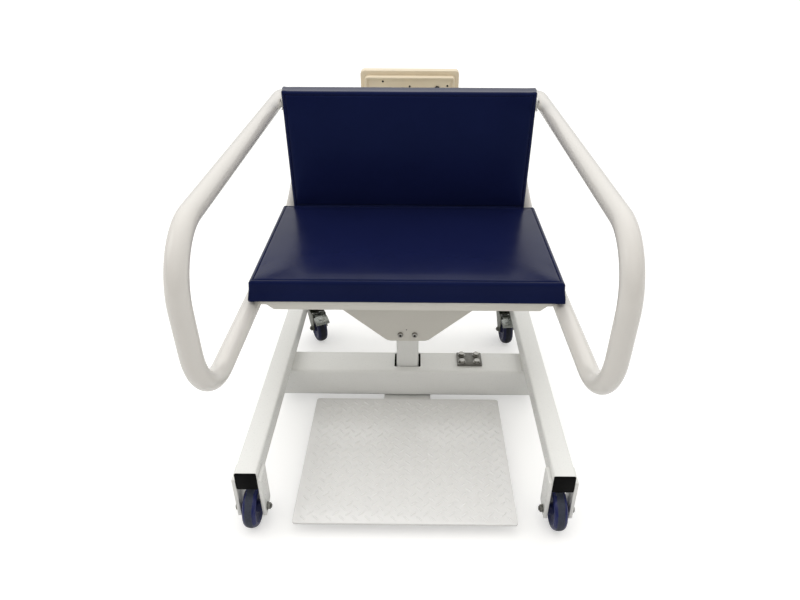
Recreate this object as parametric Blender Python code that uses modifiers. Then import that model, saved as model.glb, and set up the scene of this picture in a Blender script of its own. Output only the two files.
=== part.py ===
"""Bariatric chair scale: wide padded seat between two tube loops on a wheeled weighing base.

Metres, +Z up.  +X is to the right of someone who faces the chair, +Y is towards its back.
The origin is on the floor, under the middle of the object's outline.
"""
import math

import bmesh
import bpy
from mathutils import Matrix, Vector

# ---------------------------------------------------------------- driving dimensions
GAP = 0.0003                 # clearance left between pieces that touch

# base
RAIL = 0.050                 # square tube side
RAIL_WALL = 0.003
RAIL_X = 0.3587              # rail centre line
RAIL_TOP = 0.1744
RAIL_FRONT = -0.4660
RAIL_REAR = 0.3600
CAP_T = 0.0027               # end plug flange
WHEEL_R = 0.050
WHEEL_HALF = 0.016           # half the tyre's width
WHEEL_Y = -0.4514            # front axle
PLATE_T = 0.008              # fork plate
BEAM_Y = (-0.0395, 0.0565)
BEAM_H = 0.088
BEAM_HALF = 0.3837
BEAM_WALL = 0.004
MEMBER_Y = (0.306, 0.356)    # rear cross member

# casters
CASTER_X = 0.3235
CASTER_Y = 0.331
CASTER_YAW = {"left": math.radians(26.0), "right": math.radians(6.0)}
TRAIL = 0.042

# weighing part
CELL_X = (-0.032, 0.222)
CELL_Y = (-0.005, 0.045)
CELL_Z = (0.060, 0.100)
CLAMP_X = 0.181
CLAMP_Y = 0.017
CLAMP_SIZE = (0.072, 0.058, 0.006)
BOLT_DX = 0.0215
BOLT_DY = 0.0165
COLUMN_X = 0.0315
COLUMN_Y = (-0.0135, 0.0485)
COLUMN_TOP = 0.405
BRACKET_Y = (-0.0185, 0.0535)
BRACKET_WALL = 0.004
SCREW_X = 0.0200
SCREW_Z = 0.240
PAN_TOP = 0.4577
PAD_X = 0.375
PAD_Y = (-0.194, 0.255)
PAD_Z = (0.458, 0.511)
BACK_X = (0.3436, 0.3476)    # half width at the bottom and at the top
BACK_Y = (0.258, 0.308)
BACK_Z = (0.500, 0.844)
FOOT_X = 0.264
FOOT_Y = (-0.487, -0.0535)
FOOT_Z = (0.029, 0.035)

# tube frame
TUBE_R = 0.0212
TUBE_WALL = 0.0026
ARM_X = 0.390
ARM_FRONT = -0.536
ARM_TOP = 0.782
ARM_LOW = 0.430
ARM_BEND = 0.130
UPRIGHT_X = 0.335
UPRIGHT_Y = 0.333
UPRIGHT_TOP = 0.800
JOINT_Y = 0.4098             # where the arm tubes meet the push bar
PUSH_Y = 0.536
PUSH_TOP = 0.766             # the push bar drops a little behind the joints
PUSH_DIP_Y = 0.436
PUSH_BEND = 0.080

# indicator, in its own frame: origin on the tilt axis
IND_PIVOT = (0.0, 0.402, 0.773)
IND_TILT = math.radians(4.0)
IND_HALF = 0.1448
IND_BOX_HALF = 0.1315        # the half towards the seat is a smaller box
IND_H = (-0.079, 0.081)
IND_FACE_H = (-0.080, 0.0865)   # the half towards the staff stands a little higher
IND_REAR = 0.013             # face towards the seat
IND_SPLIT = 0.036
IND_FRONT = 0.062            # face with the display

# ---------------------------------------------------------------- empty scene
for old in list(bpy.data.objects):
    bpy.data.objects.remove(old, do_unlink=True)

PARTS = bpy.data.collections.new("bariatric_chair_scale")
CUTTERS = bpy.data.collections.new("cutters")
bpy.context.scene.collection.children.link(PARTS)
bpy.context.scene.collection.children.link(CUTTERS)


# ---------------------------------------------------------------- materials
def material(name, colour, roughness, metallic=0.0):
    mat = bpy.data.materials.new(name)
    mat.use_nodes = True
    shader = mat.node_tree.nodes["Principled BSDF"]
    shader.inputs["Base Color"].default_value = (*colour, 1.0)
    shader.inputs["Roughness"].default_value = roughness
    shader.inputs["Metallic"].default_value = metallic
    mat.diffuse_color = (*colour, 1.0)
    return mat


WHITE = material("white_paint", (0.80, 0.79, 0.75), 0.30)
TREAD = material("white_tread_plate", (0.76, 0.76, 0.74), 0.35)
VINYL = material("navy_vinyl", (0.007, 0.010, 0.060), 0.30)
BLACK = material("black_plastic", (0.010, 0.010, 0.010), 0.45)
CORE = material("blue_core", (0.012, 0.020, 0.110), 0.40)
TYRE = material("grey_blue_tyre", (0.060, 0.070, 0.105), 0.55)
ZINC = material("zinc_plate", (0.42, 0.43, 0.41), 0.38, 1.0)
STEEL = material("bright_bolt", (0.55, 0.55, 0.53), 0.30, 1.0)
ALLOY = material("cell_aluminium", (0.60, 0.60, 0.62), 0.35, 1.0)
BEIGE = material("beige_plastic", (0.66, 0.57, 0.43), 0.45)
LENS = material("dark_display", (0.020, 0.028, 0.022), 0.12)
KEY = material("grey_key", (0.22, 0.24, 0.27), 0.50)


# ---------------------------------------------------------------- modelling tools
def place(name, mesh, mat, parent=None, guide=False):
    """Object for a mesh, in the parts collection or, for a cutter, in the other one."""
    obj = bpy.data.objects.new(name, mesh)
    (CUTTERS if guide else PARTS).objects.link(obj)
    if guide:
        obj.hide_render = True
        obj.display_type = "WIRE"
    elif mat is not None:
        mesh.materials.append(mat)
    if parent is not None:
        obj.parent = parent
    return obj


def axis_empty(name, location, yaw=0.0, tilt=0.0):
    empty = bpy.data.objects.new(name, None)
    PARTS.objects.link(empty)
    empty.location = location
    empty.rotation_euler = (tilt, 0.0, yaw)
    empty.empty_display_size = 0.03
    return empty


def box(name, lo, hi, mat=None, bevel=0.0, segments=2, parent=None, guide=False, taper=None):
    """Box between two corners; taper scales its bottom face in X and Y about its middle."""
    lo, hi = Vector(lo), Vector(hi)
    mesh = bpy.data.meshes.new(name)
    bm = bmesh.new()
    bmesh.ops.create_cube(bm, size=1.0)
    bmesh.ops.scale(bm, vec=hi - lo, verts=bm.verts)
    if taper is not None:
        low = [v for v in bm.verts if v.co.z < 0.0]
        bmesh.ops.scale(bm, vec=(taper[0], taper[1], 1.0), verts=low)
    bm.to_mesh(mesh)
    bm.free()
    obj = place(name, mesh, mat, parent, guide)
    obj.location = (lo + hi) / 2.0
    if bevel:
        mod = obj.modifiers.new("edges", "BEVEL")
        mod.width = bevel
        mod.segments = segments
        mod.limit_method = "ANGLE"
    return obj


def cylinder(name, start, end, radius, mat=None, sides=24, parent=None, guide=False, turn=0.0):
    """Cylinder, or a prism of few sides, between two points on its axis."""
    start, end = Vector(start), Vector(end)
    along = end - start
    mesh = bpy.data.meshes.new(name)
    bm = bmesh.new()
    bmesh.ops.create_cone(bm, cap_ends=True, cap_tris=False, segments=sides,
                          radius1=radius, radius2=radius, depth=along.length)
    if turn:
        bmesh.ops.rotate(bm, verts=bm.verts, cent=(0, 0, 0), matrix=Matrix.Rotation(turn, 3, "Z"))
    bm.to_mesh(mesh)
    bm.free()
    if sides > 8:
        mesh.shade_smooth()
        mesh.set_sharp_from_angle(angle=math.radians(40))
    obj = place(name, mesh, mat, parent, guide)
    obj.rotation_mode = "QUATERNION"
    obj.rotation_quaternion = Vector((0, 0, 1)).rotation_difference(along)
    obj.location = (start + end) / 2.0
    return obj


def cut(obj, cutter):
    mod = obj.modifiers.new("cut_" + cutter.name, "BOOLEAN")
    mod.operation = "DIFFERENCE"
    mod.object = cutter
    return obj


def join(obj, other):
    mod = obj.modifiers.new("join_" + other.name, "BOOLEAN")
    mod.operation = "UNION"
    mod.object = other
    return obj


def axes(x_dir, y_dir, origin):
    """Matrix whose local X and Y run along two given directions."""
    x_dir, y_dir = Vector(x_dir), Vector(y_dir)
    z_dir = x_dir.cross(y_dir)
    mat = Matrix((x_dir, y_dir, z_dir)).transposed().to_4x4()
    mat.translation = Vector(origin)
    return mat


def round_corners(corners, radius, steps=4):
    """Closed outline whose corners are arcs of the given radius, or radii."""
    out = []
    count = len(corners)
    radii = radius if isinstance(radius, (list, tuple)) else [radius] * count
    for i in range(count):
        here = Vector(corners[i])
        back = (Vector(corners[i - 1]) - here).normalized()
        ahead = (Vector(corners[(i + 1) % count]) - here).normalized()
        r = radii[i]
        if r <= 0.0:
            out.append(tuple(here))
            continue
        half = back.angle(ahead) / 2.0
        centre = here + (back + ahead).normalized() * (r / math.sin(half))
        a = here + back * (r / math.tan(half)) - centre
        b = here + ahead * (r / math.tan(half)) - centre
        sweep = math.pi - 2.0 * half
        for k in range(steps + 1):
            t = k / steps
            p = centre + (a * math.sin((1 - t) * sweep) + b * math.sin(t * sweep)) / math.sin(sweep)
            out.append((p.x, p.y))
    return out


def rectangle(w, h, radius, steps=3, cx=0.0, cy=0.0):
    pts = [(cx - w / 2, cy - h / 2), (cx + w / 2, cy - h / 2), (cx + w / 2, cy + h / 2), (cx - w / 2, cy + h / 2)]
    return round_corners(pts, radius, steps)


def solid_from_curve(name, curve, matrix, mat, parent=None, guide=False):
    """Mesh object made from an evaluated curve, with its caps welded on."""
    temp = bpy.data.objects.new(name + "_curve", curve)
    PARTS.objects.link(temp)
    temp.matrix_world = matrix
    bpy.context.view_layer.update()
    depsgraph = bpy.context.evaluated_depsgraph_get()
    mesh = bpy.data.meshes.new_from_object(temp.evaluated_get(depsgraph))
    mesh.name = name
    bm = bmesh.new()
    bm.from_mesh(mesh)
    bmesh.ops.remove_doubles(bm, verts=bm.verts, dist=0.00001)
    bmesh.ops.dissolve_degenerate(bm, edges=bm.edges, dist=0.000001)
    bmesh.ops.recalc_face_normals(bm, faces=bm.faces)
    bm.to_mesh(mesh)
    bm.free()
    mesh.materials.clear()
    bpy.data.objects.remove(temp, do_unlink=True)
    obj = place(name, mesh, mat, parent, guide)
    obj.matrix_basis = matrix
    return obj


def outline(name, loops, thickness, matrix, mat=None, parent=None, guide=False):
    """Flat outline, with holes as further loops, extruded to both sides of its plane."""
    curve = bpy.data.curves.new(name, "CURVE")
    curve.dimensions = "2D"
    curve.fill_mode = "BOTH"
    curve.extrude = thickness / 2.0
    for loop in loops:
        spline = curve.splines.new("POLY")
        spline.points.add(len(loop) - 1)
        for point, xy in zip(spline.points, loop):
            point.co = (xy[0], xy[1], 0.0, 1.0)
        spline.use_cyclic_u = True
    return solid_from_curve(name, curve, matrix, mat, parent, guide)


def bent_path(corners, radii, step=math.radians(11.3)):
    """Centre line through corner points, each corner an arc of its own radius."""
    pts = [Vector(corners[0])]
    for i in range(1, len(corners) - 1):
        here = Vector(corners[i])
        back = (Vector(corners[i - 1]) - here).normalized()
        ahead = (Vector(corners[i + 1]) - here).normalized()
        half = back.angle(ahead) / 2.0
        r = radii[i - 1]
        centre = here + (back + ahead).normalized() * (r / math.sin(half))
        a = here + back * (r / math.tan(half)) - centre
        b = here + ahead * (r / math.tan(half)) - centre
        sweep = math.pi - 2.0 * half
        steps = max(2, round(sweep / step))
        for k in range(steps + 1):
            t = k / steps
            pts.append(centre + (a * math.sin((1 - t) * sweep) + b * math.sin(t * sweep)) / math.sin(sweep))
    pts.append(Vector(corners[-1]))
    return pts


def tube(name, path, radius, wall, mat):
    """Hollow tube along a path: an open swept surface given its wall by Solidify."""
    curve = bpy.data.curves.new(name, "CURVE")
    curve.dimensions = "3D"
    curve.bevel_depth = radius
    curve.bevel_resolution = 4
    curve.use_fill_caps = False
    spline = curve.splines.new("POLY")
    spline.points.add(len(path) - 1)
    for point, p in zip(spline.points, path):
        point.co = (p.x, p.y, p.z, 1.0)
    obj = solid_from_curve(name, curve, Matrix.Identity(4), mat)
    mesh = obj.data
    mesh.shade_smooth()
    outward = 0.0
    for face in mesh.polygons:
        nearest = min(path, key=lambda p: (p - face.center).length)
        outward += face.normal.dot(face.center - nearest) * face.area
    if outward < 0.0:
        mesh.flip_normals()
    mod = obj.modifiers.new("wall", "SOLIDIFY")
    mod.thickness = wall
    mod.offset = -1.0
    return obj


def turned(name, profile, mat, matrix=None, parent=None, steps=32):
    """Ring turned about its local Z axis from a closed profile of (radius, height) points."""
    mesh = bpy.data.meshes.new(name)
    bm = bmesh.new()
    verts = [bm.verts.new((r, 0.0, z)) for r, z in profile]
    for i in range(len(verts)):
        bm.edges.new((verts[i], verts[(i + 1) % len(verts)]))
    bm.to_mesh(mesh)
    bm.free()
    obj = place(name, mesh, mat, parent)
    if matrix is not None:
        obj.matrix_basis = matrix
    mod = obj.modifiers.new("turn", "SCREW")
    mod.angle = 2.0 * math.pi
    mod.steps = steps
    mod.render_steps = steps
    mod.use_merge_vertices = True
    mod.merge_threshold = 0.00005
    mod.use_smooth_shade = True
    return obj


# ---------------------------------------------------------------- base frame
RAIL_MID = RAIL_TOP - RAIL / 2.0
RAIL_LOW = RAIL_TOP - RAIL
SIDES = (("left", -1.0), ("right", 1.0))

for side, s in SIDES:
    # square tube, front to back
    loops = [rectangle(RAIL, RAIL, 0.004),
             rectangle(RAIL - 2 * RAIL_WALL, RAIL - 2 * RAIL_WALL, 0.0025)]
    mid_y = (RAIL_FRONT + RAIL_REAR) / 2.0
    outline("rail_" + side, loops, RAIL_REAR - RAIL_FRONT,
            axes((1, 0, 0), (0, 0, 1), (s * RAIL_X, mid_y, RAIL_MID)), WHITE)

    # end plugs: a flange on the tube's end and a plug inside it
    for end, y, out in (("front", RAIL_FRONT - GAP, -1.0), ("rear", RAIL_REAR + GAP, 1.0)):
        cap = outline("rail_cap_%s_%s" % (end, side), [rectangle(RAIL - 0.0006, RAIL - 0.0006, 0.004)], CAP_T,
                      axes((1, 0, 0), (0, 0, 1), (s * RAIL_X, y + out * CAP_T / 2, RAIL_MID)), BLACK)
        inner = RAIL / 2 - RAIL_WALL - 0.0005
        y0, y1 = sorted((y + out * CAP_T * 0.5, y - out * 0.014))
        plug = box("plug_%s_%s" % (end, side), (s * RAIL_X - inner, y0, RAIL_MID - inner),
                   (s * RAIL_X + inner, y1, RAIL_MID + inner), bevel=0.003, guide=True)
        join(cap, plug)

    # two plates on the rail's sides carry the fixed front wheel
    shape = round_corners([(-0.468, 0.0335), (-0.447, 0.0335), (-0.418, 0.044), (-0.418, 0.1535), (-0.468, 0.1535)],
                          [0.004, 0.006, 0.006, 0.003, 0.003], 3)
    for which, x in (("outer", RAIL_X + RAIL / 2 + GAP + PLATE_T / 2), ("inner", RAIL_X - RAIL / 2 - GAP - PLATE_T / 2)):
        plate = outline("fork_plate_%s_%s" % (which, side), [shape], PLATE_T,
                        axes((0, 1, 0), (0, 0, 1), (s * x, 0, 0)), WHITE)
        hole = cylinder("hole_%s_%s" % (which, side), (s * x - 0.01, WHEEL_Y, WHEEL_R), (s * x + 0.01, WHEEL_Y, WHEEL_R),
                        0.0065, sides=20, guide=True)
        cut(plate, hole)

    # axle bolt through both plates: head outside, nut and thread end inside
    x_out = RAIL_X + RAIL / 2 + 2 * GAP + PLATE_T
    x_in = RAIL_X - RAIL / 2 - 2 * GAP - PLATE_T
    axle = cylinder("front_axle_" + side, (s * (x_in - 0.0118), WHEEL_Y, WHEEL_R), (s * (x_out + 0.001), WHEEL_Y, WHEEL_R),
                    0.0060, STEEL, sides=16)
    head = cylinder("axle_head_" + side, (s * x_out, WHEEL_Y, WHEEL_R), (s * (x_out + 0.0068), WHEEL_Y, WHEEL_R),
                    0.0104, sides=6, guide=True)
    nut = cylinder("axle_nut_" + side, (s * x_in, WHEEL_Y, WHEEL_R), (s * (x_in - 0.0088), WHEEL_Y, WHEEL_R),
                   0.0104, sides=6, guide=True)
    join(axle, head)
    join(axle, nut)


def wheel(core_name, tyre_name, matrix, boss, parent=None):
    """Moulded core with a boss, web and rim, and the tyre round it; both turn about local Z."""
    core = [(0.0160, boss), (0.0175, 0.0120), (0.0300, 0.0120), (0.0312, 0.0145), (0.0372, 0.0145),
            (0.0372, -0.0145), (0.0312, -0.0145), (0.0300, -0.0120), (0.0175, -0.0120), (0.0160, -boss),
            (0.0068, -boss), (0.0068, boss)]
    turned(core_name, core, CORE, matrix, parent, 24)
    h = WHEEL_HALF
    shoulder = [(0.0408, h), (0.0440, h - 0.0009), (0.0467, h - 0.0031), (0.0488, h - 0.0069), (0.0497, h - 0.0112)]
    tyre = shoulder + [(WHEEL_R, 0.0)] + [(r, -z) for r, z in reversed(shoulder)] + [(0.0375, -h), (0.0375, h)]
    turned(tyre_name, tyre, TYRE, matrix, parent, 36)


for side, s in SIDES:
    wheel("front_wheel_core_" + side, "front_wheel_tyre_" + side,
          axes((0, 1, 0), (0, 0, 1), (s * RAIL_X, WHEEL_Y, WHEEL_R)), 0.0242)

# cross beam: closed box section under the rails, slotted for the column and open below for the foot bracket
BEAM_TOP = RAIL_LOW - GAP
BEAM_LOW = BEAM_TOP - BEAM_H
beam_mid = (sum(BEAM_Y) / 2.0, (BEAM_TOP + BEAM_LOW) / 2.0)
beam = outline("cross_beam", [rectangle(BEAM_Y[1] - BEAM_Y[0], BEAM_H, 0.007)], 2 * BEAM_HALF,
               axes((0, 1, 0), (0, 0, 1), (0, beam_mid[0], beam_mid[1])), WHITE)
cut(beam, box("beam_inside", (-BEAM_HALF + BEAM_WALL, BEAM_Y[0] + BEAM_WALL, BEAM_LOW + BEAM_WALL),
              (BEAM_HALF - BEAM_WALL, BEAM_Y[1] - BEAM_WALL, BEAM_TOP - BEAM_WALL), bevel=0.003, guide=True))
cut(beam, box("beam_slot", (-0.0382, COLUMN_Y[0] - 0.002, BEAM_TOP - 0.02),
              (0.0382, COLUMN_Y[1] + 0.0025, BEAM_TOP + 0.02), guide=True))
cut(beam, box("beam_opening", (-0.040, -0.010, BEAM_LOW - 0.02), (0.040, 0.050, BEAM_LOW + 0.02), guide=True))

# rear cross member between the rails
outline("rear_cross_member",
        [rectangle(MEMBER_Y[1] - MEMBER_Y[0], RAIL, 0.005),
         rectangle(MEMBER_Y[1] - MEMBER_Y[0] - 2 * RAIL_WALL, RAIL - 2 * RAIL_WALL, 0.0025)],
        2 * (RAIL_X - RAIL / 2 - GAP), axes((0, 1, 0), (0, 0, 1), (0, sum(MEMBER_Y) / 2, RAIL_MID)), WHITE)

# ---------------------------------------------------------------- load cell and its clamp
cell = box("load_cell", (CELL_X[0], CELL_Y[0], CELL_Z[0]), (CELL_X[1], CELL_Y[1], CELL_Z[1]), ALLOY, bevel=0.001, segments=1)
for k, x in enumerate((0.068, 0.108)):
    cut(cell, cylinder("cell_bore_%d" % k, (x, -0.02, 0.080), (x, 0.06, 0.080), 0.0135, sides=24, guide=True))
cut(cell, box("cell_slot", (0.068, -0.02, 0.078), (0.108, 0.06, 0.082), guide=True))
spacer = box("load_cell_spacer", (0.147, CELL_Y[0], CELL_Z[1] + GAP), (0.215, CELL_Y[1], BEAM_TOP - BEAM_WALL - GAP), ALLOY)
clamp_z = BEAM_TOP + GAP
clamp = box("load_cell_plate", (CLAMP_X - CLAMP_SIZE[0] / 2, CLAMP_Y - CLAMP_SIZE[1] / 2, clamp_z),
            (CLAMP_X + CLAMP_SIZE[0] / 2, CLAMP_Y + CLAMP_SIZE[1] / 2, clamp_z + CLAMP_SIZE[2]), STEEL, bevel=0.001, segments=1)
number = 0
for dx in (-BOLT_DX, BOLT_DX):
    for dy in (-BOLT_DY, BOLT_DY):
        number += 1
        x, y = CLAMP_X + dx, CLAMP_Y + dy
        hole = cylinder("clamp_hole_%d" % number, (x, y, 0.077), (x, y, 0.140), 0.0054, sides=16, guide=True)
        for piece in (beam, cell, spacer, clamp):
            cut(piece, hole)
        top = clamp_z + CLAMP_SIZE[2] + GAP
        bolt = cylinder("load_cell_bolt_%d" % number, (x, y, 0.080), (x, y, top + 0.002), 0.0049, STEEL, sides=14)
        join(bolt, cylinder("washer_%d" % number, (x, y, top), (x, y, top + 0.0016), 0.0102, sides=20, guide=True))
        join(bolt, cylinder("hex_%d" % number, (x, y, top + 0.0010), (x, y, top + 0.0078), 0.0090, sides=6,
                            turn=0.3 * number, guide=True))

# ---------------------------------------------------------------- column, seat bracket and pan
column = outline("column", [rectangle(2 * COLUMN_X, COLUMN_Y[1] - COLUMN_Y[0], 0.006)], COLUMN_TOP - CELL_Z[1] - GAP,
                 axes((1, 0, 0), (0, 1, 0), (0, sum(COLUMN_Y) / 2, (COLUMN_TOP + CELL_Z[1] + GAP) / 2)), WHITE)
cut(column, box("column_inside", (-COLUMN_X + 0.004, COLUMN_Y[0] + 0.004, CELL_Z[1] + 0.010),
                (COLUMN_X - 0.004, COLUMN_Y[1] - 0.004, COLUMN_TOP + 0.02), guide=True))

# folded bracket: front and rear plates joined by sloping sides, open at the top
low_z, top_z = 0.2170, PAN_TOP - 0.0065
slope = 1.186                                    # half width gained per unit of height
half_low = 0.0560
half_top = half_low + (top_z - low_z) * slope
shape = round_corners([(-half_low, low_z), (half_low, low_z), (half_top, top_z), (-half_top, top_z)],
                      [0.030, 0.030, 0.0, 0.0], 6)
bracket = outline("seat_bracket", [shape], BRACKET_Y[1] - BRACKET_Y[0],
                  axes((1, 0, 0), (0, 0, 1), (0, sum(BRACKET_Y) / 2, 0)), WHITE)
w = BRACKET_WALL
side_w = w * math.hypot(1.0, slope)
half_in = half_low - side_w + w * slope
in_low = low_z + w
in_top = top_z + 0.02
shape = round_corners([(-half_in, in_low), (half_in, in_low), (half_in + (in_top - in_low) * slope, in_top),
                       (-half_in - (in_top - in_low) * slope, in_top)], [0.027, 0.027, 0.0, 0.0], 6)
cut(bracket, outline("bracket_inside", [shape], BRACKET_Y[1] - BRACKET_Y[0] - 2 * w,
                     axes((1, 0, 0), (0, 0, 1), (0, sum(BRACKET_Y) / 2, 0)), guide=True))
cut(bracket, box("bracket_mouth", (-COLUMN_X - 0.0006, COLUMN_Y[0] - 0.0006, low_z - 0.01),
                 (COLUMN_X + 0.0006, COLUMN_Y[1] + 0.0006, low_z + 0.03), guide=True))
cut(bracket, cylinder("bracket_sight_hole", (-0.0027, BRACKET_Y[0] - 0.01, 0.2559), (-0.0027, BRACKET_Y[0] + 0.0045, 0.2559),
                      0.0022, sides=12, guide=True))
for side, s in SIDES:
    x = s * SCREW_X
    cut(bracket, cylinder("bracket_hole_" + side, (x, BRACKET_Y[0] - 0.01, SCREW_Z), (x, BRACKET_Y[0] + 0.0048, SCREW_Z),
                          0.0046, sides=16, guide=True))
    cut(column, cylinder("column_hole_" + side, (x, COLUMN_Y[0] - 0.002, SCREW_Z), (x, COLUMN_Y[0] + 0.006, SCREW_Z),
                         0.0044, sides=16, guide=True))
    face = BRACKET_Y[0] - GAP
    screw = cylinder("bracket_screw_" + side, (x, face - 0.0005, SCREW_Z), (x, COLUMN_Y[0] + 0.0035, SCREW_Z), 0.0040, STEEL, sides=14)
    join(screw, cylinder("screw_head_" + side, (x, face - 0.0065, SCREW_Z), (x, face, SCREW_Z), 0.0068, sides=20, guide=True))
    cut(screw, cylinder("screw_socket_" + side, (x, face - 0.0080, SCREW_Z), (x, face - 0.0030, SCREW_Z), 0.0034, sides=6, guide=True))


def bar_x(y):
    """Centre line of the bottom bar: it runs in a little towards the back."""
    return ARM_X - 0.003 - (y - ARM_FRONT) * (ARM_X - 0.003 - 0.372) / (UPRIGHT_Y - ARM_FRONT)


pan = box("seat_pan", (-0.3545, -0.1860, 0.4235), (0.3545, 0.2480, 0.4550), WHITE, taper=(0.9140, 0.9613))
cut(pan, box("pan_inside", (-0.3485, -0.1816, 0.4205), (0.3485, 0.2436, PAN_TOP - 0.0062), guide=True, taper=(0.9110, 0.9600)))
join(pan, outline("pan_lip", [rectangle(0.712, 0.441, 0.010, cy=0.0320)], 0.0034,
                  axes((1, 0, 0), (0, 1, 0), (0, 0, PAN_TOP - 0.0017)), guide=True))
join(pan, outline("pan_rim", [rectangle(0.7116, 0.4406, 0.010, cy=0.0320), rectangle(0.698, 0.429, 0.006, cy=0.0320)], 0.0098,
                  axes((1, 0, 0), (0, 1, 0), (0, 0, PAN_TOP - 0.0067)), guide=True))
for side, s in SIDES:
    for k, y in enumerate((-0.10, 0.13)):
        x0, x1 = sorted((s * 0.3345, s * (bar_x(y + 0.03) - 0.0205)))
        join(pan, box("pan_tab_%s_%d" % (side, k), (x0, y - 0.030, 0.4350), (x1, y + 0.030, 0.4400), guide=True))

# ---------------------------------------------------------------- pads and back panel
box("seat_pad", (-PAD_X, PAD_Y[0], PAD_Z[0]), (PAD_X, PAD_Y[1], PAD_Z[1]), VINYL, bevel=0.008, segments=3)
box("back_pad", (-BACK_X[1], BACK_Y[0], BACK_Z[0]), (BACK_X[1], BACK_Y[1], BACK_Z[1]), VINYL, bevel=0.008, segments=3,
    taper=(BACK_X[0] / BACK_X[1], 1.0))
outline("back_panel", [rectangle(0.640, 0.312, 0.012, cy=0.680)], 0.003,
        axes((1, 0, 0), (0, 0, 1), (0, BACK_Y[1] + GAP + 0.0015, 0)), WHITE)

# ---------------------------------------------------------------- tube frame
for side, s in SIDES:
    path = bent_path([(s * ARM_X, JOINT_Y - GAP, ARM_TOP), (s * ARM_X, ARM_FRONT, ARM_TOP),
                      (s * (ARM_X - 0.003), ARM_FRONT, ARM_LOW), (s * 0.372, UPRIGHT_Y, ARM_LOW),
                      (s * UPRIGHT_X, UPRIGHT_Y, 0.565), (s * UPRIGHT_X, UPRIGHT_Y, UPRIGHT_TOP)],
                     [ARM_BEND, ARM_BEND, 0.090, 0.120])
    tube("arm_tube_" + side, path, TUBE_R, TUBE_WALL, WHITE)

path = bent_path([(-ARM_X, JOINT_Y + GAP, ARM_TOP), (-ARM_X, PUSH_DIP_Y, ARM_TOP), (-ARM_X, PUSH_Y, PUSH_TOP), (ARM_X, PUSH_Y, PUSH_TOP),
                  (ARM_X, PUSH_DIP_Y, ARM_TOP), (ARM_X, JOINT_Y + GAP, ARM_TOP)], [0.200, PUSH_BEND, PUSH_BEND, 0.200])
tube("push_bar", path, TUBE_R, TUBE_WALL, WHITE)

rail_y = UPRIGHT_Y + TUBE_R + GAP
outline("back_rail", [rectangle(0.030, 0.030, 0.003), rectangle(0.025, 0.025, 0.0015)], 2 * (ARM_X - TUBE_R - 0.0005),
        axes((0, 1, 0), (0, 0, 1), (0, rail_y + 0.015, ARM_TOP)), WHITE)

# ---------------------------------------------------------------- footplate and its arm
foot = box("foot_bracket", (-0.068, -0.400, FOOT_Z[0] - GAP - 0.006), (0.068, 0.046, FOOT_Z[0] - GAP), WHITE, bevel=0.002, segments=1)
join(foot, box("foot_stem", (-0.030, 0.000, FOOT_Z[0] - GAP - 0.002), (0.030, 0.040, CELL_Z[0] - GAP), guide=True))
outline("footplate", [rectangle(2 * FOOT_X, FOOT_Y[1] - FOOT_Y[0], 0.008, 4)], FOOT_Z[1] - FOOT_Z[0],
        axes((1, 0, 0), (0, 1, 0), (0, sum(FOOT_Y) / 2, sum(FOOT_Z) / 2)), TREAD)

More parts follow.
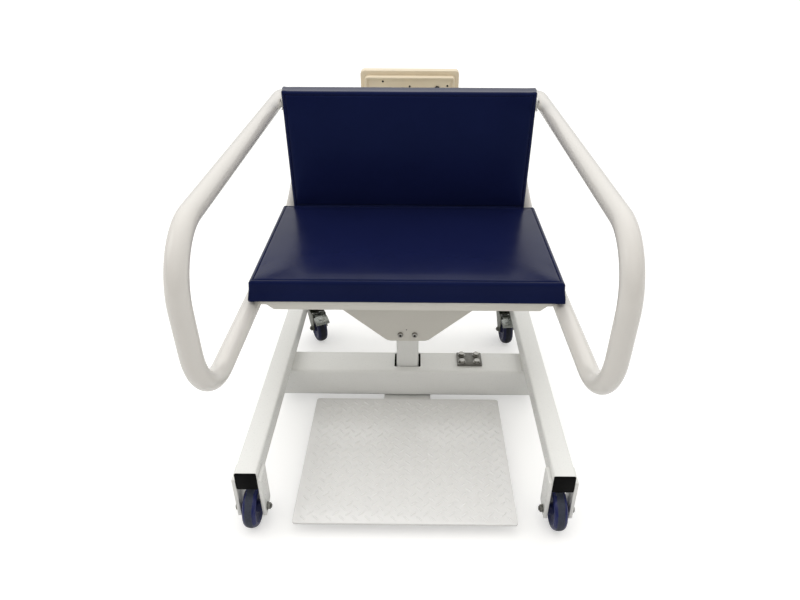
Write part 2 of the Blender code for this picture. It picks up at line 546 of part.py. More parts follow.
# ---------------------------------------------------------------- casters
for side, s in SIDES:
    # fixed part: plate under the rail and the cross member, and the swivel race
    plate = box("caster_plate_" + side, (s * CASTER_X - 0.038, CASTER_Y - 0.038, 0.1206), (s * CASTER_X + 0.038, CASTER_Y + 0.028, RAIL_LOW - GAP),
                ZINC, bevel=0.001, segments=1)
    join(plate, cylinder("race_" + side, (s * CASTER_X, CASTER_Y, 0.1084), (s * CASTER_X, CASTER_Y, 0.1212), 0.0255, sides=28, guide=True))
    cut(plate, cylinder("race_bore_" + side, (s * CASTER_X, CASTER_Y, 0.1000), (s * CASTER_X, CASTER_Y, 0.1222), 0.0068, sides=20, guide=True))

    # swivelling part, in the frame of its own axis: the wheel trails along local -Y
    pivot = axis_empty("caster_axis_" + side, (s * CASTER_X, CASTER_Y, 0.0), yaw=CASTER_YAW[side])
    fork = outline("caster_fork_" + side, [round_corners([(-0.0215, -0.038), (0.0215, -0.038), (0.0215, 0.020), (-0.0215, 0.020)],
                                                         [0.0, 0.0, 0.014, 0.014], 4)], 0.0035,
                   axes((1, 0, 0), (0, 1, 0), (0, 0, 0.10625)), ZINC, parent=pivot)
    leg = round_corners([(-0.014, 0.1078), (-0.014, 0.096), (0.030, 0.040), (0.054, 0.040), (0.060, 0.096), (0.054, 0.1078)],
                        [0.0, 0.010, 0.009, 0.009, 0.012, 0.0], 4)
    for k, x in enumerate((-0.0216, 0.0216)):
        join(fork, outline("leg_%s_%d" % (side, k), [leg], 0.0030, axes((0, -1, 0), (0, 0, 1), (x, 0, 0)), parent=pivot, guide=True))
    join(fork, cylinder("kingpin_" + side, (0, 0, 0.1060), (0, 0, 0.1195), 0.0062, sides=20, parent=pivot, guide=True))
    cut(fork, cylinder("fork_hole_" + side, (-0.04, -TRAIL, WHEEL_R), (0.04, -TRAIL, WHEEL_R), 0.0049, sides=16, parent=pivot, guide=True))

    bolt = cylinder("caster_axle_" + side, (-0.0325, -TRAIL, WHEEL_R), (0.0245, -TRAIL, WHEEL_R), 0.0045, STEEL, sides=14, parent=pivot)
    join(bolt, cylinder("caster_head_" + side, (0.0234, -TRAIL, WHEEL_R), (0.0286, -TRAIL, WHEEL_R), 0.0078, sides=6, parent=pivot, guide=True))
    join(bolt, cylinder("caster_nut_" + side, (-0.0234, -TRAIL, WHEEL_R), (-0.0300, -TRAIL, WHEEL_R), 0.0078, sides=6, parent=pivot, guide=True))

    hub = axes((0, 1, 0), (0, 0, 1), (0, -TRAIL, WHEEL_R))
    wheel("caster_core_" + side, "caster_tyre_" + side, hub, 0.0192, parent=pivot)

    # brake pedal: bent sheet hinged between the legs, over the wheel
    sheet = [(0.0415, 0.1022), (0.0460, 0.1018), (0.0640, 0.1012), (0.0876, 0.0918), (0.0902, 0.0868), (0.0932, 0.0876),
             (0.0908, 0.0948), (0.0650, 0.1052), (0.0470, 0.1080), (0.0415, 0.1072)]
    pedal = outline("brake_pedal_" + side, [sheet], 0.034, axes((0, -1, 0), (0, 0, 1), (0, 0, 0)), ZINC, parent=pivot)
    wings = [(0.0660, 0.1006), (0.0876, 0.0921), (0.0904, 0.0871), (0.0929, 0.0878), (0.0905, 0.0945), (0.0660, 0.1045)]
    join(pedal, outline("pedal_wings_" + side, [wings], 0.046, axes((0, -1, 0), (0, 0, 1), (0, 0, 0)), parent=pivot, guide=True))
    join(pedal, cylinder("pedal_pin_" + side, (-0.0196, -0.0445, 0.1046), (0.0196, -0.0445, 0.1046), 0.0022, sides=12, parent=pivot, guide=True))

# ---------------------------------------------------------------- indicator on the back rail
face_y = rail_y + 0.030 + GAP
mount = box("indicator_bracket", (-0.060, face_y, 0.745), (0.060, face_y + 0.004, 0.805), WHITE, bevel=0.001, segments=1)
for side, s in SIDES:
    x0, x1 = sorted((s * 0.0310, s * 0.0350))
    ear = outline("ear_" + side, [round_corners([(face_y + 0.002, 0.758), (0.4100, 0.764), (0.4100, 0.782), (face_y + 0.002, 0.788)],
                                                [0.0, 0.006, 0.006, 0.0], 3)], 0.004,
                  axes((0, 1, 0), (0, 0, 1), (s * 0.0330, 0, 0)), guide=True)
    join(mount, ear)
px, py, pz = IND_PIVOT
cut(mount, cylinder("ear_bore", (-0.05, py, pz), (0.05, py, pz), 0.0043, sides=16, guide=True))
screw = cylinder("indicator_tilt_screw", (-0.0392, py, pz), (0.0372, py, pz), 0.0038, STEEL, sides=14)
join(screw, cylinder("tilt_head", (0.0354, py, pz), (0.0474, py, pz), 0.0092, sides=18, guide=True))
join(screw, cylinder("tilt_nut", (-0.0354, py, pz), (-0.0404, py, pz), 0.0072, sides=6, guide=True))

tilt = axis_empty("indicator_axis", IND_PIVOT, tilt=IND_TILT)
ih = IND_H[1] - IND_H[0]
ic = (IND_H[0] + IND_H[1]) / 2.0
fh = IND_FACE_H[1] - IND_FACE_H[0]
fc = (IND_FACE_H[0] + IND_FACE_H[1]) / 2.0


def case_outline(inset, radius, steps=4):
    return rectangle(2 * (IND_HALF - inset), fh - 2 * inset, radius, steps, cy=fc)


def case_axes(y):
    return axes((1, 0, 0), (0, 0, 1), (0, y, 0))


# half towards the seat: smaller box with a recessed back face and the lug that the tilt screw holds
depth = IND_SPLIT - GAP / 2 - IND_REAR
rear = outline("indicator_rear_case", [rectangle(2 * IND_BOX_HALF, ih - 0.015, 0.009, 4, cy=ic)], depth, case_axes(IND_REAR + depth / 2), BEIGE, parent=tilt)
cut(rear, outline("rear_inside", [rectangle(2 * IND_BOX_HALF - 0.006, ih - 0.021, 0.006, 3, cy=ic)], 0.030, case_axes(IND_REAR + 0.0085 + 0.015), parent=tilt, guide=True))
cut(rear, outline("rear_recess", [rectangle(0.2510, ih - 0.024, 0.004, 3, cy=ic)], 0.010, case_axes(IND_REAR), parent=tilt, guide=True))
join(rear, box("rear_lug", (-0.0300, -0.0085, -0.0120), (0.0300, IND_REAR + 0.0070, 0.0120), bevel=0.003, parent=tilt, guide=True))
cut(rear, cylinder("lug_bore", (-0.05, 0, 0), (0.05, 0, 0), 0.0042, sides=16, parent=tilt, guide=True))
cut(rear, cylinder("gland_hole", (0.0805, 0.010, 0.0400), (0.0805, 0.030, 0.0400), 0.0058, sides=16, parent=tilt, guide=True))

# half towards the staff: shell with the display window and the keys
depth = IND_FRONT - IND_SPLIT - GAP / 2
front = outline("indicator_front_case", [case_outline(0.0, 0.012)], depth, case_axes(IND_FRONT - depth / 2), BEIGE, parent=tilt)
hollow = IND_FRONT - 0.0065 - (IND_SPLIT + 0.0030)
cut(front, outline("front_inside", [case_outline(0.003, 0.009, 3)], hollow, case_axes(IND_SPLIT + 0.0030 + hollow / 2), parent=tilt, guide=True))
cut(front, outline("front_mouth", [rectangle(2 * IND_BOX_HALF - 0.008, ih - 0.023, 0.006, 3, cy=ic)], 0.010, case_axes(IND_SPLIT), parent=tilt, guide=True))
cut(front, outline("window_pocket", [rectangle(0.1506, 0.0526, 0.003, 3, cy=0.030)], 0.006, case_axes(IND_FRONT), parent=tilt, guide=True))
outline("indicator_display", [rectangle(0.1500, 0.0520, 0.003, 3, cy=0.030)], 0.0024, case_axes(IND_FRONT - 0.0014), LENS, parent=tilt)
for k, x in enumerate((0.050, 0.0, -0.050)):
    cut(front, outline("key_pocket_%d" % k, [rectangle(0.0310, 0.0190, 0.004, 3, cx=x, cy=-0.035)], 0.010, case_axes(IND_FRONT), parent=tilt, guide=True))
    outline("indicator_key_%d" % (k + 1), [rectangle(0.0300, 0.0180, 0.0035, 3, cx=x, cy=-0.035)], 0.0040,
            case_axes(IND_FRONT - 0.0005), KEY, parent=tilt)

# gland: a flanged nut on the recessed face, its neck in the hole
gland = cylinder("cable_gland", (0.0805, IND_REAR - 0.0040, 0.0400), (0.0805, IND_REAR + 0.0047, 0.0400), 0.0085, BLACK, sides=20, parent=tilt)
join(gland, cylinder("gland_neck", (0.0805, IND_REAR + 0.0040, 0.0400), (0.0805, IND_REAR + 0.0120, 0.0400), 0.0054, sides=16, parent=tilt, guide=True))
cut(gland, cylinder("gland_bore", (0.0805, IND_REAR - 0.0100, 0.0400), (0.0805, IND_REAR + 0.0080, 0.0400), 0.0030, sides=12, parent=tilt, guide=True))
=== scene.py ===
"""Bariatric chair scale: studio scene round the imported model.

Metres, +Z up, +X to the right of someone who faces the chair, +Y towards its back.
"""
import math
import random

import bmesh
import bpy
from mathutils import Matrix, Vector, kdtree, noise


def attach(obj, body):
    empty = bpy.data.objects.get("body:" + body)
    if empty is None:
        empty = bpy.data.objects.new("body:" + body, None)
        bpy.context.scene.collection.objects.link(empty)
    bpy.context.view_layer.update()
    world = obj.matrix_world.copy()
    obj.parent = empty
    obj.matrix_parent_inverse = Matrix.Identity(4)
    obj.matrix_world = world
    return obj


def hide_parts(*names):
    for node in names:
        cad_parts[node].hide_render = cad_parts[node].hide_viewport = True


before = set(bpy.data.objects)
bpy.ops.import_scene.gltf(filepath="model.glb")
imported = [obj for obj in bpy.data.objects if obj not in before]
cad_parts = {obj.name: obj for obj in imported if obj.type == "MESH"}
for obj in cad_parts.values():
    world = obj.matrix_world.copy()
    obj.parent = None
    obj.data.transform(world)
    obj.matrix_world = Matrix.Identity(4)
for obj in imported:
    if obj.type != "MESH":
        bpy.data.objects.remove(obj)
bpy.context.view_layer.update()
random.seed(11)
SCENE = bpy.context.scene

# ---------------------------------------------------------------- camera
camera = bpy.data.objects.new("camera", bpy.data.cameras.new("camera"))
SCENE.collection.objects.link(camera)
SCENE.camera = camera
PITCH, YAW, ROLL = 0.53910, -0.00709, 0.00396
ahead = Vector((math.sin(YAW) * math.cos(PITCH), math.cos(YAW) * math.cos(PITCH), -math.sin(PITCH)))
level = Vector((math.cos(YAW), -math.sin(YAW), 0.0))
up = level.cross(ahead)
cam_x = level * math.cos(ROLL) + up * math.sin(ROLL)
cam_y = up * math.cos(ROLL) - level * math.sin(ROLL)
camera.matrix_world = Matrix((
    (cam_x.x, cam_y.x, -ahead.x, 0.01824),
    (cam_x.y, cam_y.y, -ahead.y, -1.42614),
    (cam_x.z, cam_y.z, -ahead.z, 1.24086),
    (0, 0, 0, 1)))
camera.data.sensor_fit = "HORIZONTAL"
camera.data.sensor_width = 36.0
camera.data.lens = 613.103 * 36.0 / 800.0
camera.data.shift_x = -10.6385 / 800.0
camera.data.shift_y = -13.914 / 800.0
camera.data.clip_start = 0.02
camera.data.clip_end = 200.0

# ---------------------------------------------------------------- materials


def shader(name, base, rough, metal=0.0, specular=0.5, tint=0.03, tint_scale=9.0, rough_vary=0.05, bumps=(),
           coat=0.0, coat_rough=0.1, sheen=0.0, spots=None, facing_tint=None, band=None):
    """Principled material with noise in its colour and roughness and a chain of bumps.

    bumps holds (kind, scale per metre, height in metres, strength); spots is (colour, scale, share);
    band is (colour, half width, roughness) of a worn strip round the middle of a wheel's own axis.
    """
    mat = bpy.data.materials.new(name)
    mat.use_nodes = True
    nodes, links = mat.node_tree.nodes, mat.node_tree.links
    bsdf = nodes["Principled BSDF"]
    bsdf.inputs["Metallic"].default_value = metal
    bsdf.inputs["Specular IOR Level"].default_value = specular
    bsdf.inputs["Coat Weight"].default_value = coat
    bsdf.inputs["Coat Roughness"].default_value = coat_rough
    bsdf.inputs["Sheen Weight"].default_value = sheen
    if facing_tint is not None:
        bsdf.inputs["Specular Tint"].default_value = (*facing_tint, 1.0)
    coords = nodes.new("ShaderNodeTexCoord").outputs["Object"]

    def noise_fac(scale, detail=3.0, roughness=0.55):
        tex = nodes.new("ShaderNodeTexNoise")
        tex.inputs["Scale"].default_value = scale
        tex.inputs["Detail"].default_value = detail
        tex.inputs["Roughness"].default_value = roughness
        links.new(coords, tex.inputs["Vector"])
        return tex.outputs["Fac"]

    ramp = nodes.new("ShaderNodeValToRGB")
    ramp.color_ramp.elements[0].position = 0.30
    ramp.color_ramp.elements[1].position = 0.70
    ramp.color_ramp.elements[0].color = (*[c * (1.0 - tint) for c in base], 1.0)
    ramp.color_ramp.elements[1].color = (*[min(1.0, c * (1.0 + tint)) for c in base], 1.0)
    links.new(noise_fac(tint_scale, 5.0), ramp.inputs["Fac"])
    colour = ramp.outputs["Color"]
    if spots is not None:
        spot_colour, spot_scale, share = spots
        edge = nodes.new("ShaderNodeMapRange")
        edge.inputs["From Min"].default_value = 1.0 - share
        edge.inputs["From Max"].default_value = 1.0 - share * 0.55
        links.new(noise_fac(spot_scale, 6.0, 0.7), edge.inputs["Value"])
        mix = nodes.new("ShaderNodeMix")
        mix.data_type = "RGBA"
        mix.inputs["B"].default_value = (*spot_colour, 1.0)
        for socket in mix.inputs:
            if socket.name == "A" and socket.type == "RGBA":
                links.new(colour, socket)
            if socket.name == "B" and socket.type == "RGBA":
                socket.default_value = (*spot_colour, 1.0)
        links.new(edge.outputs["Result"], mix.inputs[0])
        colour = [s for s in mix.outputs if s.type == "RGBA"][0]
    worn = None
    if band is not None:
        band_colour, band_half, band_rough = band
        across = nodes.new("ShaderNodeSeparateXYZ")
        links.new(coords, across.inputs[0])
        size = nodes.new("ShaderNodeMath")
        size.operation = "ABSOLUTE"
        links.new(across.outputs["Z"], size.inputs[0])
        ragged = nodes.new("ShaderNodeMath")
        ragged.operation = "MULTIPLY_ADD"
        ragged.inputs[1].default_value = 0.0060
        links.new(noise_fac(160.0, 5.0, 0.65), ragged.inputs[0])
        links.new(size.outputs["Value"], ragged.inputs[2])
        strip = nodes.new("ShaderNodeMapRange")
        strip.inputs["From Min"].default_value = band_half + 0.0022
        strip.inputs["From Max"].default_value = band_half + 0.0040
        strip.inputs["To Min"].default_value = 1.0
        strip.inputs["To Max"].default_value = 0.0
        links.new(ragged.outputs["Value"], strip.inputs["Value"])
        worn = strip.outputs["Result"]
        dusty = nodes.new("ShaderNodeValToRGB")
        dusty.color_ramp.elements[0].position = 0.32
        dusty.color_ramp.elements[1].position = 0.68
        dusty.color_ramp.elements[0].color = (*[c * 0.72 for c in band_colour], 1.0)
        dusty.color_ramp.elements[1].color = (*[c * 1.30 for c in band_colour], 1.0)
        links.new(noise_fac(230.0, 6.0, 0.7), dusty.inputs["Fac"])
        mix = nodes.new("ShaderNodeMix")
        mix.data_type = "RGBA"
        links.new(worn, mix.inputs[0])
        for socket in mix.inputs:
            if socket.name == "A" and socket.type == "RGBA":
                links.new(colour, socket)
            if socket.name == "B" and socket.type == "RGBA":
                links.new(dusty.outputs["Color"], socket)
        colour = [s for s in mix.outputs if s.type == "RGBA"][0]
    links.new(colour, bsdf.inputs["Base Color"])

    rough_map = nodes.new("ShaderNodeMapRange")
    rough_map.inputs["From Min"].default_value = 0.3
    rough_map.inputs["From Max"].default_value = 0.7
    rough_map.inputs["To Min"].default_value = max(0.03, rough - rough_vary)
    rough_map.inputs["To Max"].default_value = rough + rough_vary
    links.new(noise_fac(tint_scale * 2.7, 4.0), rough_map.inputs["Value"])
    rough_out = rough_map.outputs["Result"]
    if worn is not None:
        blend = nodes.new("ShaderNodeMix")
        blend.data_type = "FLOAT"
        links.new(worn, blend.inputs[0])
        links.new(rough_out, blend.inputs[2])
        blend.inputs[3].default_value = band[2]
        rough_out = blend.outputs[0]
    links.new(rough_out, bsdf.inputs["Roughness"])

    normal = None
    for kind, scale, height, strength in bumps:
        if kind == "grain":
            tex = nodes.new("ShaderNodeTexVoronoi")
            tex.feature = "DISTANCE_TO_EDGE"
            tex.inputs["Scale"].default_value = scale
            warp = nodes.new("ShaderNodeTexNoise")
            warp.inputs["Scale"].default_value = scale * 0.6
            links.new(coords, warp.inputs["Vector"])
            add = nodes.new("ShaderNodeVectorMath")
            add.operation = "MULTIPLY_ADD"
            add.inputs[1].default_value = (0.6 / scale,) * 3
            links.new(warp.outputs["Color"], add.inputs[0])
            links.new(coords, add.inputs[2])
            links.new(add.outputs["Vector"], tex.inputs["Vector"])
            fac = tex.outputs["Distance"]
        elif kind == "brushed":
            stretch = nodes.new("ShaderNodeMapping")
            stretch.inputs["Scale"].default_value = (0.06, 1.0, 1.0)
            links.new(coords, stretch.inputs["Vector"])
            tex = nodes.new("ShaderNodeTexNoise")
            tex.inputs["Scale"].default_value = scale
            links.new(stretch.outputs["Vector"], tex.inputs["Vector"])
            fac = tex.outputs["Fac"]
        else:
            fac = noise_fac(scale, 2.0)
        bump = nodes.new("ShaderNodeBump")
        bump.inputs["Distance"].default_value = height
        bump.inputs["Strength"].default_value = strength
        links.new(fac, bump.inputs["Height"])
        if normal is not None:
            links.new(normal, bump.inputs["Normal"])
        normal = bump.outputs["Normal"]
    if normal is not None:
        links.new(normal, bsdf.inputs["Normal"])
    return mat


WHITE = shader("white_enamel", (0.815, 0.820, 0.800), 0.28, tint=0.004, tint_scale=110.0, rough_vary=0.010, coat=0.2, coat_rough=0.10,
               bumps=(("noise", 1100.0, 0.0001, 0.03),))
# copies of the white enamel with painted shade: the loop tubes and push bar darker and warmer, the pan and bracket
# under the seat darker and greyer, for the light that falls on them
WARM_SHADED_WHITE = shader("warm_white_painted_shade", (0.712, 0.690, 0.655), 0.26, tint=0.004, tint_scale=110.0, rough_vary=0.010, coat=0.5, coat_rough=0.06,
                    bumps=(("noise", 1100.0, 0.0001, 0.03),))
SHADED_WHITE = shader("grey_white_painted_shade", (0.680, 0.662, 0.610), 0.30, tint=0.004, tint_scale=110.0, rough_vary=0.010, coat=0.2, coat_rough=0.10,
                     bumps=(("noise", 1100.0, 0.0001, 0.03),))
TREAD = shader("white_tread_enamel", (0.800, 0.800, 0.795), 0.25, tint=0.005, tint_scale=110.0, rough_vary=0.015, coat=0.4, coat_rough=0.08,
               bumps=(("noise", 1000.0, 0.0001, 0.04),))
VINYL = shader("navy_vinyl", (0.0070, 0.0102, 0.0490), 0.23, specular=0.5, facing_tint=(0.03, 0.06, 0.13), tint=0.08, tint_scale=6.0,
               rough_vary=0.03, bumps=(("noise", 9.0, 0.0020, 0.05), ("grain", 700.0, 0.00012, 0.10), ("noise", 2600.0, 0.00004, 0.08)))
THREAD = shader("navy_thread", (0.006, 0.008, 0.045), 0.65, tint=0.15, tint_scale=400.0, bumps=(("noise", 4000.0, 0.0001, 0.5),))
BLACK = shader("black_moulding", (0.0030, 0.0030, 0.0032), 0.50, specular=0.05, tint=0.15, tint_scale=60.0,
               bumps=(("noise", 1700.0, 0.00008, 0.35), ("noise", 90.0, 0.0003, 0.06)))
CORE = shader("blue_moulding", (0.005, 0.009, 0.062), 0.42, specular=0.25, tint=0.08, tint_scale=40.0, bumps=(("noise", 900.0, 0.00008, 0.2),))
TYRE = shader("blue_tyre", (0.009, 0.014, 0.090), 0.22, specular=0.4, tint=0.10, tint_scale=60.0, rough_vary=0.05,
              bumps=(("noise", 700.0, 0.00012, 0.2), ("noise", 90.0, 0.0004, 0.08)), band=((0.030, 0.037, 0.060), 0.0082, 0.60))
TYRE_REAR = shader("navy_tyre", (0.0050, 0.0075, 0.0420), 0.34, specular=0.3, tint=0.12, tint_scale=60.0, rough_vary=0.05,
                   bumps=(("noise", 700.0, 0.00012, 0.2),), band=((0.0085, 0.0100, 0.0190), 0.0080, 0.60))
CORE_REAR = shader("navy_moulding", (0.0050, 0.0080, 0.0600), 0.34, specular=0.3, tint=0.08, tint_scale=40.0, bumps=(("noise", 900.0, 0.00008, 0.2),))
# a darker copy of the zinc plate for the caster top plates and yokes: painted shade for the parts that sit under the
# frame
SHADED_ZINC = shader("zinc_plate_painted_shade", (0.150, 0.155, 0.135), 0.36, metal=1.0, tint=0.22, tint_scale=70.0, rough_vary=0.12,
                   bumps=(("noise", 420.0, 0.00015, 0.35), ("brushed", 900.0, 0.00005, 0.2)))
NUT = shader("dull_bolt", (0.200, 0.200, 0.185), 0.24, metal=1.0, tint=0.15, tint_scale=120.0, rough_vary=0.08,
             bumps=(("noise", 900.0, 0.00008, 0.25),))
ZINC = shader("zinc_plate", (0.30, 0.315, 0.30), 0.30, metal=1.0, tint=0.14, tint_scale=60.0, rough_vary=0.10,
              bumps=(("noise", 420.0, 0.00015, 0.25), ("brushed", 900.0, 0.00005, 0.2)))
BOLT = shader("bright_bolt", (0.36, 0.355, 0.335), 0.20, metal=1.0, tint=0.12, tint_scale=120.0, rough_vary=0.08,
              bumps=(("noise", 900.0, 0.00008, 0.25),))
PLATE = shader("bare_steel_plate", (0.17, 0.168, 0.155), 0.40, metal=1.0, tint=0.18, tint_scale=90.0, rough_vary=0.12,
               bumps=(("brushed", 1400.0, 0.00008, 0.4), ("noise", 300.0, 0.0001, 0.2)), spots=((0.10, 0.095, 0.08), 220.0, 0.45))
ALLOY = shader("milled_aluminium", (0.62, 0.62, 0.63), 0.32, metal=1.0, tint=0.05, tint_scale=30.0,
               bumps=(("brushed", 1600.0, 0.00006, 0.4),))
BEIGE = shader("beige_moulding", (0.790, 0.690, 0.520), 0.40, tint=0.03, tint_scale=18.0,
               bumps=(("noise", 1600.0, 0.00008, 0.35), ("noise", 60.0, 0.0003, 0.05)))
LENS = shader("dark_window", (0.016, 0.022, 0.019), 0.08, tint=0.05, rough_vary=0.02, coat=0.5)
LCD = shader("grey_green_panel", (0.17, 0.20, 0.15), 0.30, tint=0.03, bumps=(("noise", 3000.0, 0.00003, 0.2),))
KEYS = shader("grey_key", (0.20, 0.22, 0.25), 0.48, tint=0.05, tint_scale=50.0, bumps=(("noise", 1800.0, 0.00006, 0.3),))
# near-black for painted shade, set in the beam slot, the sight hole, the screw sockets and the screw holes
PAINTED_SHADE = shader("painted_shade_black", (0.008, 0.0075, 0.007), 0.7, specular=0.1, tint=0.2)
SEALANT = shader("weld_paint", (0.800, 0.798, 0.765), 0.30, tint=0.01, tint_scale=30.0, rough_vary=0.02, coat=0.2,
                 bumps=(("noise", 500.0, 0.0004, 0.2),))

# ---------------------------------------------------------------- geometry tools
LAYER = bpy.context.view_layer


def keep(obj, mat, body="base", replaces=(), angle=38.0, parts=None):
    """Finishes a piece: one material, smooth faces with sharp edges, its body and its nodes."""
    mesh = obj.data
    mesh.materials.clear()
    mesh.materials.append(mat)
    mesh.shade_smooth()
    if angle is not None:
        mesh.set_sharp_from_angle(angle=math.radians(angle))
    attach(obj, body)
    names = [replaces] if isinstance(replaces, str) else list(replaces)
    if names:
        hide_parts(*names)
    return obj


def put(name, bm, matrix=None):
    if matrix is not None:
        bmesh.ops.transform(bm, matrix=matrix, verts=bm.verts)
    bmesh.ops.remove_doubles(bm, verts=bm.verts, dist=0.000002)
    bmesh.ops.recalc_face_normals(bm, faces=bm.faces)
    mesh = bpy.data.meshes.new(name)
    bm.to_mesh(mesh)
    bm.free()
    obj = bpy.data.objects.new(name, mesh)
    SCENE.collection.objects.link(obj)
    return obj


def settle(obj):
    """Applies an object's modifiers to its mesh."""
    LAYER.update()
    mesh = bpy.data.meshes.new_from_object(obj.evaluated_get(bpy.context.evaluated_depsgraph_get()))
    obj.modifiers.clear()
    obj.data = mesh
    return obj


def bevel(obj, width, segments=3, angle=50.0):
    mod = obj.modifiers.new("bevel", "BEVEL")
    mod.width = width
    mod.segments = segments
    mod.limit_method = "ANGLE"
    mod.angle_limit = math.radians(angle)
    return settle(obj)


def boolean(obj, other, operation="DIFFERENCE"):
    mod = obj.modifiers.new("boolean", "BOOLEAN")
    mod.operation = operation
    mod.object = other
    mod.solver = "EXACT"
    settle(obj)
    bpy.data.objects.remove(other, do_unlink=True)
    return obj


def merge(name, objects):
    """One mesh object from several."""
    bm = bmesh.new()
    for obj in objects:
        bm.from_mesh(obj.data)
        bpy.data.objects.remove(obj, do_unlink=True)
    mesh = bpy.data.meshes.new(name)
    bm.to_mesh(mesh)
    bm.free()
    obj = bpy.data.objects.new(name, mesh)
    SCENE.collection.objects.link(obj)
    return obj


def block(name, lo, hi, matrix=None, taper=None):
    lo, hi = Vector(lo), Vector(hi)
    bm = bmesh.new()
    bmesh.ops.create_cube(bm, size=1.0)
    bmesh.ops.scale(bm, vec=hi - lo, verts=bm.verts)
    if taper is not None:
        bmesh.ops.scale(bm, vec=(taper[0], taper[1], 1.0), verts=[v for v in bm.verts if v.co.z < 0.0])
    bmesh.ops.translate(bm, vec=(lo + hi) / 2.0, verts=bm.verts)
    return put(name, bm, matrix)


def axes(x_dir, y_dir, origin):
    x_dir, y_dir = Vector(x_dir), Vector(y_dir)
    mat = Matrix((x_dir, y_dir, x_dir.cross(y_dir))).transposed().to_4x4()
    mat.translation = Vector(origin)
    return mat


def rounded(corners, radius, steps=8):
    """Closed outline with arcs at its corners."""
    out, count = [], len(corners)
    radii = radius if isinstance(radius, (list, tuple)) else [radius] * count
    for i in range(count):
        here = Vector(corners[i])
        back = (Vector(corners[i - 1]) - here).normalized()
        forth = (Vector(corners[(i + 1) % count]) - here).normalized()
        r = radii[i]
        if r <= 0.0:
            out.append((here.x, here.y))
            continue
        half = back.angle(forth) / 2.0
        centre = here + (back + forth).normalized() * (r / math.sin(half))
        a = here + back * (r / math.tan(half)) - centre
        b = here + forth * (r / math.tan(half)) - centre
        sweep_angle = math.pi - 2.0 * half
        for k in range(steps + 1):
            t = k / steps
            p = centre + (a * math.sin((1 - t) * sweep_angle) + b * math.sin(t * sweep_angle)) / math.sin(sweep_angle)
            out.append((p.x, p.y))
    return out


def rect(w, h, r, steps=8, cx=0.0, cy=0.0):
    return rounded([(cx - w / 2, cy - h / 2), (cx + w / 2, cy - h / 2), (cx + w / 2, cy + h / 2), (cx - w / 2, cy + h / 2)], r, steps)


def ring(r, cx=0.0, cy=0.0, steps=32):
    return [(cx + r * math.cos(2 * math.pi * k / steps), cy + r * math.sin(2 * math.pi * k / steps)) for k in range(steps)]


def slab(name, loops, thickness, matrix, edge=0.0, segments=3):
    """Flat outline with holes, given a thickness and rounded edges."""
    curve = bpy.data.curves.new(name, "CURVE")
    curve.dimensions = "2D"
    curve.fill_mode = "BOTH"
    curve.extrude = thickness / 2.0
    for loop in loops:
        spline = curve.splines.new("POLY")
        spline.points.add(len(loop) - 1)
        for point, xy in zip(spline.points, loop):
            point.co = (xy[0], xy[1], 0.0, 1.0)
        spline.use_cyclic_u = True
    temp = bpy.data.objects.new(name + "_curve", curve)
    SCENE.collection.objects.link(temp)
    LAYER.update()
    flat = bpy.data.meshes.new_from_object(temp.evaluated_get(bpy.context.evaluated_depsgraph_get()))
    bpy.data.objects.remove(temp, do_unlink=True)
    bm = bmesh.new()
    bm.from_mesh(flat)
    bmesh.ops.remove_doubles(bm, verts=bm.verts, dist=0.000005)
    bmesh.ops.dissolve_limit(bm, angle_limit=math.radians(0.5), verts=bm.verts, edges=bm.edges)
    obj = put(name, bm)
    if edge:
        bevel(obj, edge, segments, 50.0)
    obj.data.transform(matrix)
    return obj


def bent(corners, radii, step=math.radians(4.0)):
    pts = [Vector(corners[0])]
    for i in range(1, len(corners) - 1):
        here = Vector(corners[i])
        back = (Vector(corners[i - 1]) - here).normalized()
        forth = (Vector(corners[i + 1]) - here).normalized()
        half = back.angle(forth) / 2.0
        r = radii[i - 1]
        centre = here + (back + forth).normalized() * (r / math.sin(half))
        a = here + back * (r / math.tan(half)) - centre
        b = here + forth * (r / math.tan(half)) - centre
        sweep_angle = math.pi - 2.0 * half
        steps = max(3, round(sweep_angle / step))
        for k in range(steps + 1):
            t = k / steps
            pts.append(centre + (a * math.sin((1 - t) * sweep_angle) + b * math.sin(t * sweep_angle)) / math.sin(sweep_angle))
    pts.append(Vector(corners[-1]))
    return pts


def sweep(name, path, radius, sides=40, radii=None, matrix=None):
    """Round bar along a path, with flat ends; radii may give each point its own radius."""
    bm = bmesh.new()
    side = None
    rings = []
    for i, p in enumerate(path):
        a = path[max(0, i - 1)]
        b = path[min(len(path) - 1, i + 1)]
        t = ((b - p).normalized() + (p - a).normalized()) if 0 < i < len(path) - 1 else (b - a)
        t = t.normalized()
        if side is None:
            side = t.orthogonal().normalized()
        side = (side - t * side.dot(t)).normalized()
        other = t.cross(side)
        r = radius if radii is None else radii[i]
        rings.append([bm.verts.new(p + (side * math.cos(2 * math.pi * k / sides) + other * math.sin(2 * math.pi * k / sides)) * r)
                      for k in range(sides)])
    for one, two in zip(rings, rings[1:]):
        for k in range(sides):
            bm.faces.new((one[k], one[(k + 1) % sides], two[(k + 1) % sides], two[k]))
    bm.faces.new(list(reversed(rings[0])))
    bm.faces.new(rings[-1])
    return put(name, bm, matrix)


def lathe(name, profile, matrix=None, steps=64, closed=True):
    """Solid turned about local Z from a closed profile of (radius, height)."""
    bm = bmesh.new()
    rings = []
    for k in range(steps):
        c, s = math.cos(2 * math.pi * k / steps), math.sin(2 * math.pi * k / steps)
        rings.append([bm.verts.new((r * c, r * s, z)) for r, z in profile])
    n = len(profile)
    for k in range(steps):
        one, two = rings[k], rings[(k + 1) % steps]
        for i in range(n if closed else n - 1):
            j = (i + 1) % n
            if profile[i][0] < 1e-7 and profile[j][0] < 1e-7:
                continue
            bm.faces.new((one[i], two[i], two[j], one[j]))
    bmesh.ops.remove_doubles(bm, verts=bm.verts, dist=0.0000005)
    bmesh.ops.dissolve_degenerate(bm, edges=bm.edges, dist=0.0000001)
    return put(name, bm, matrix)


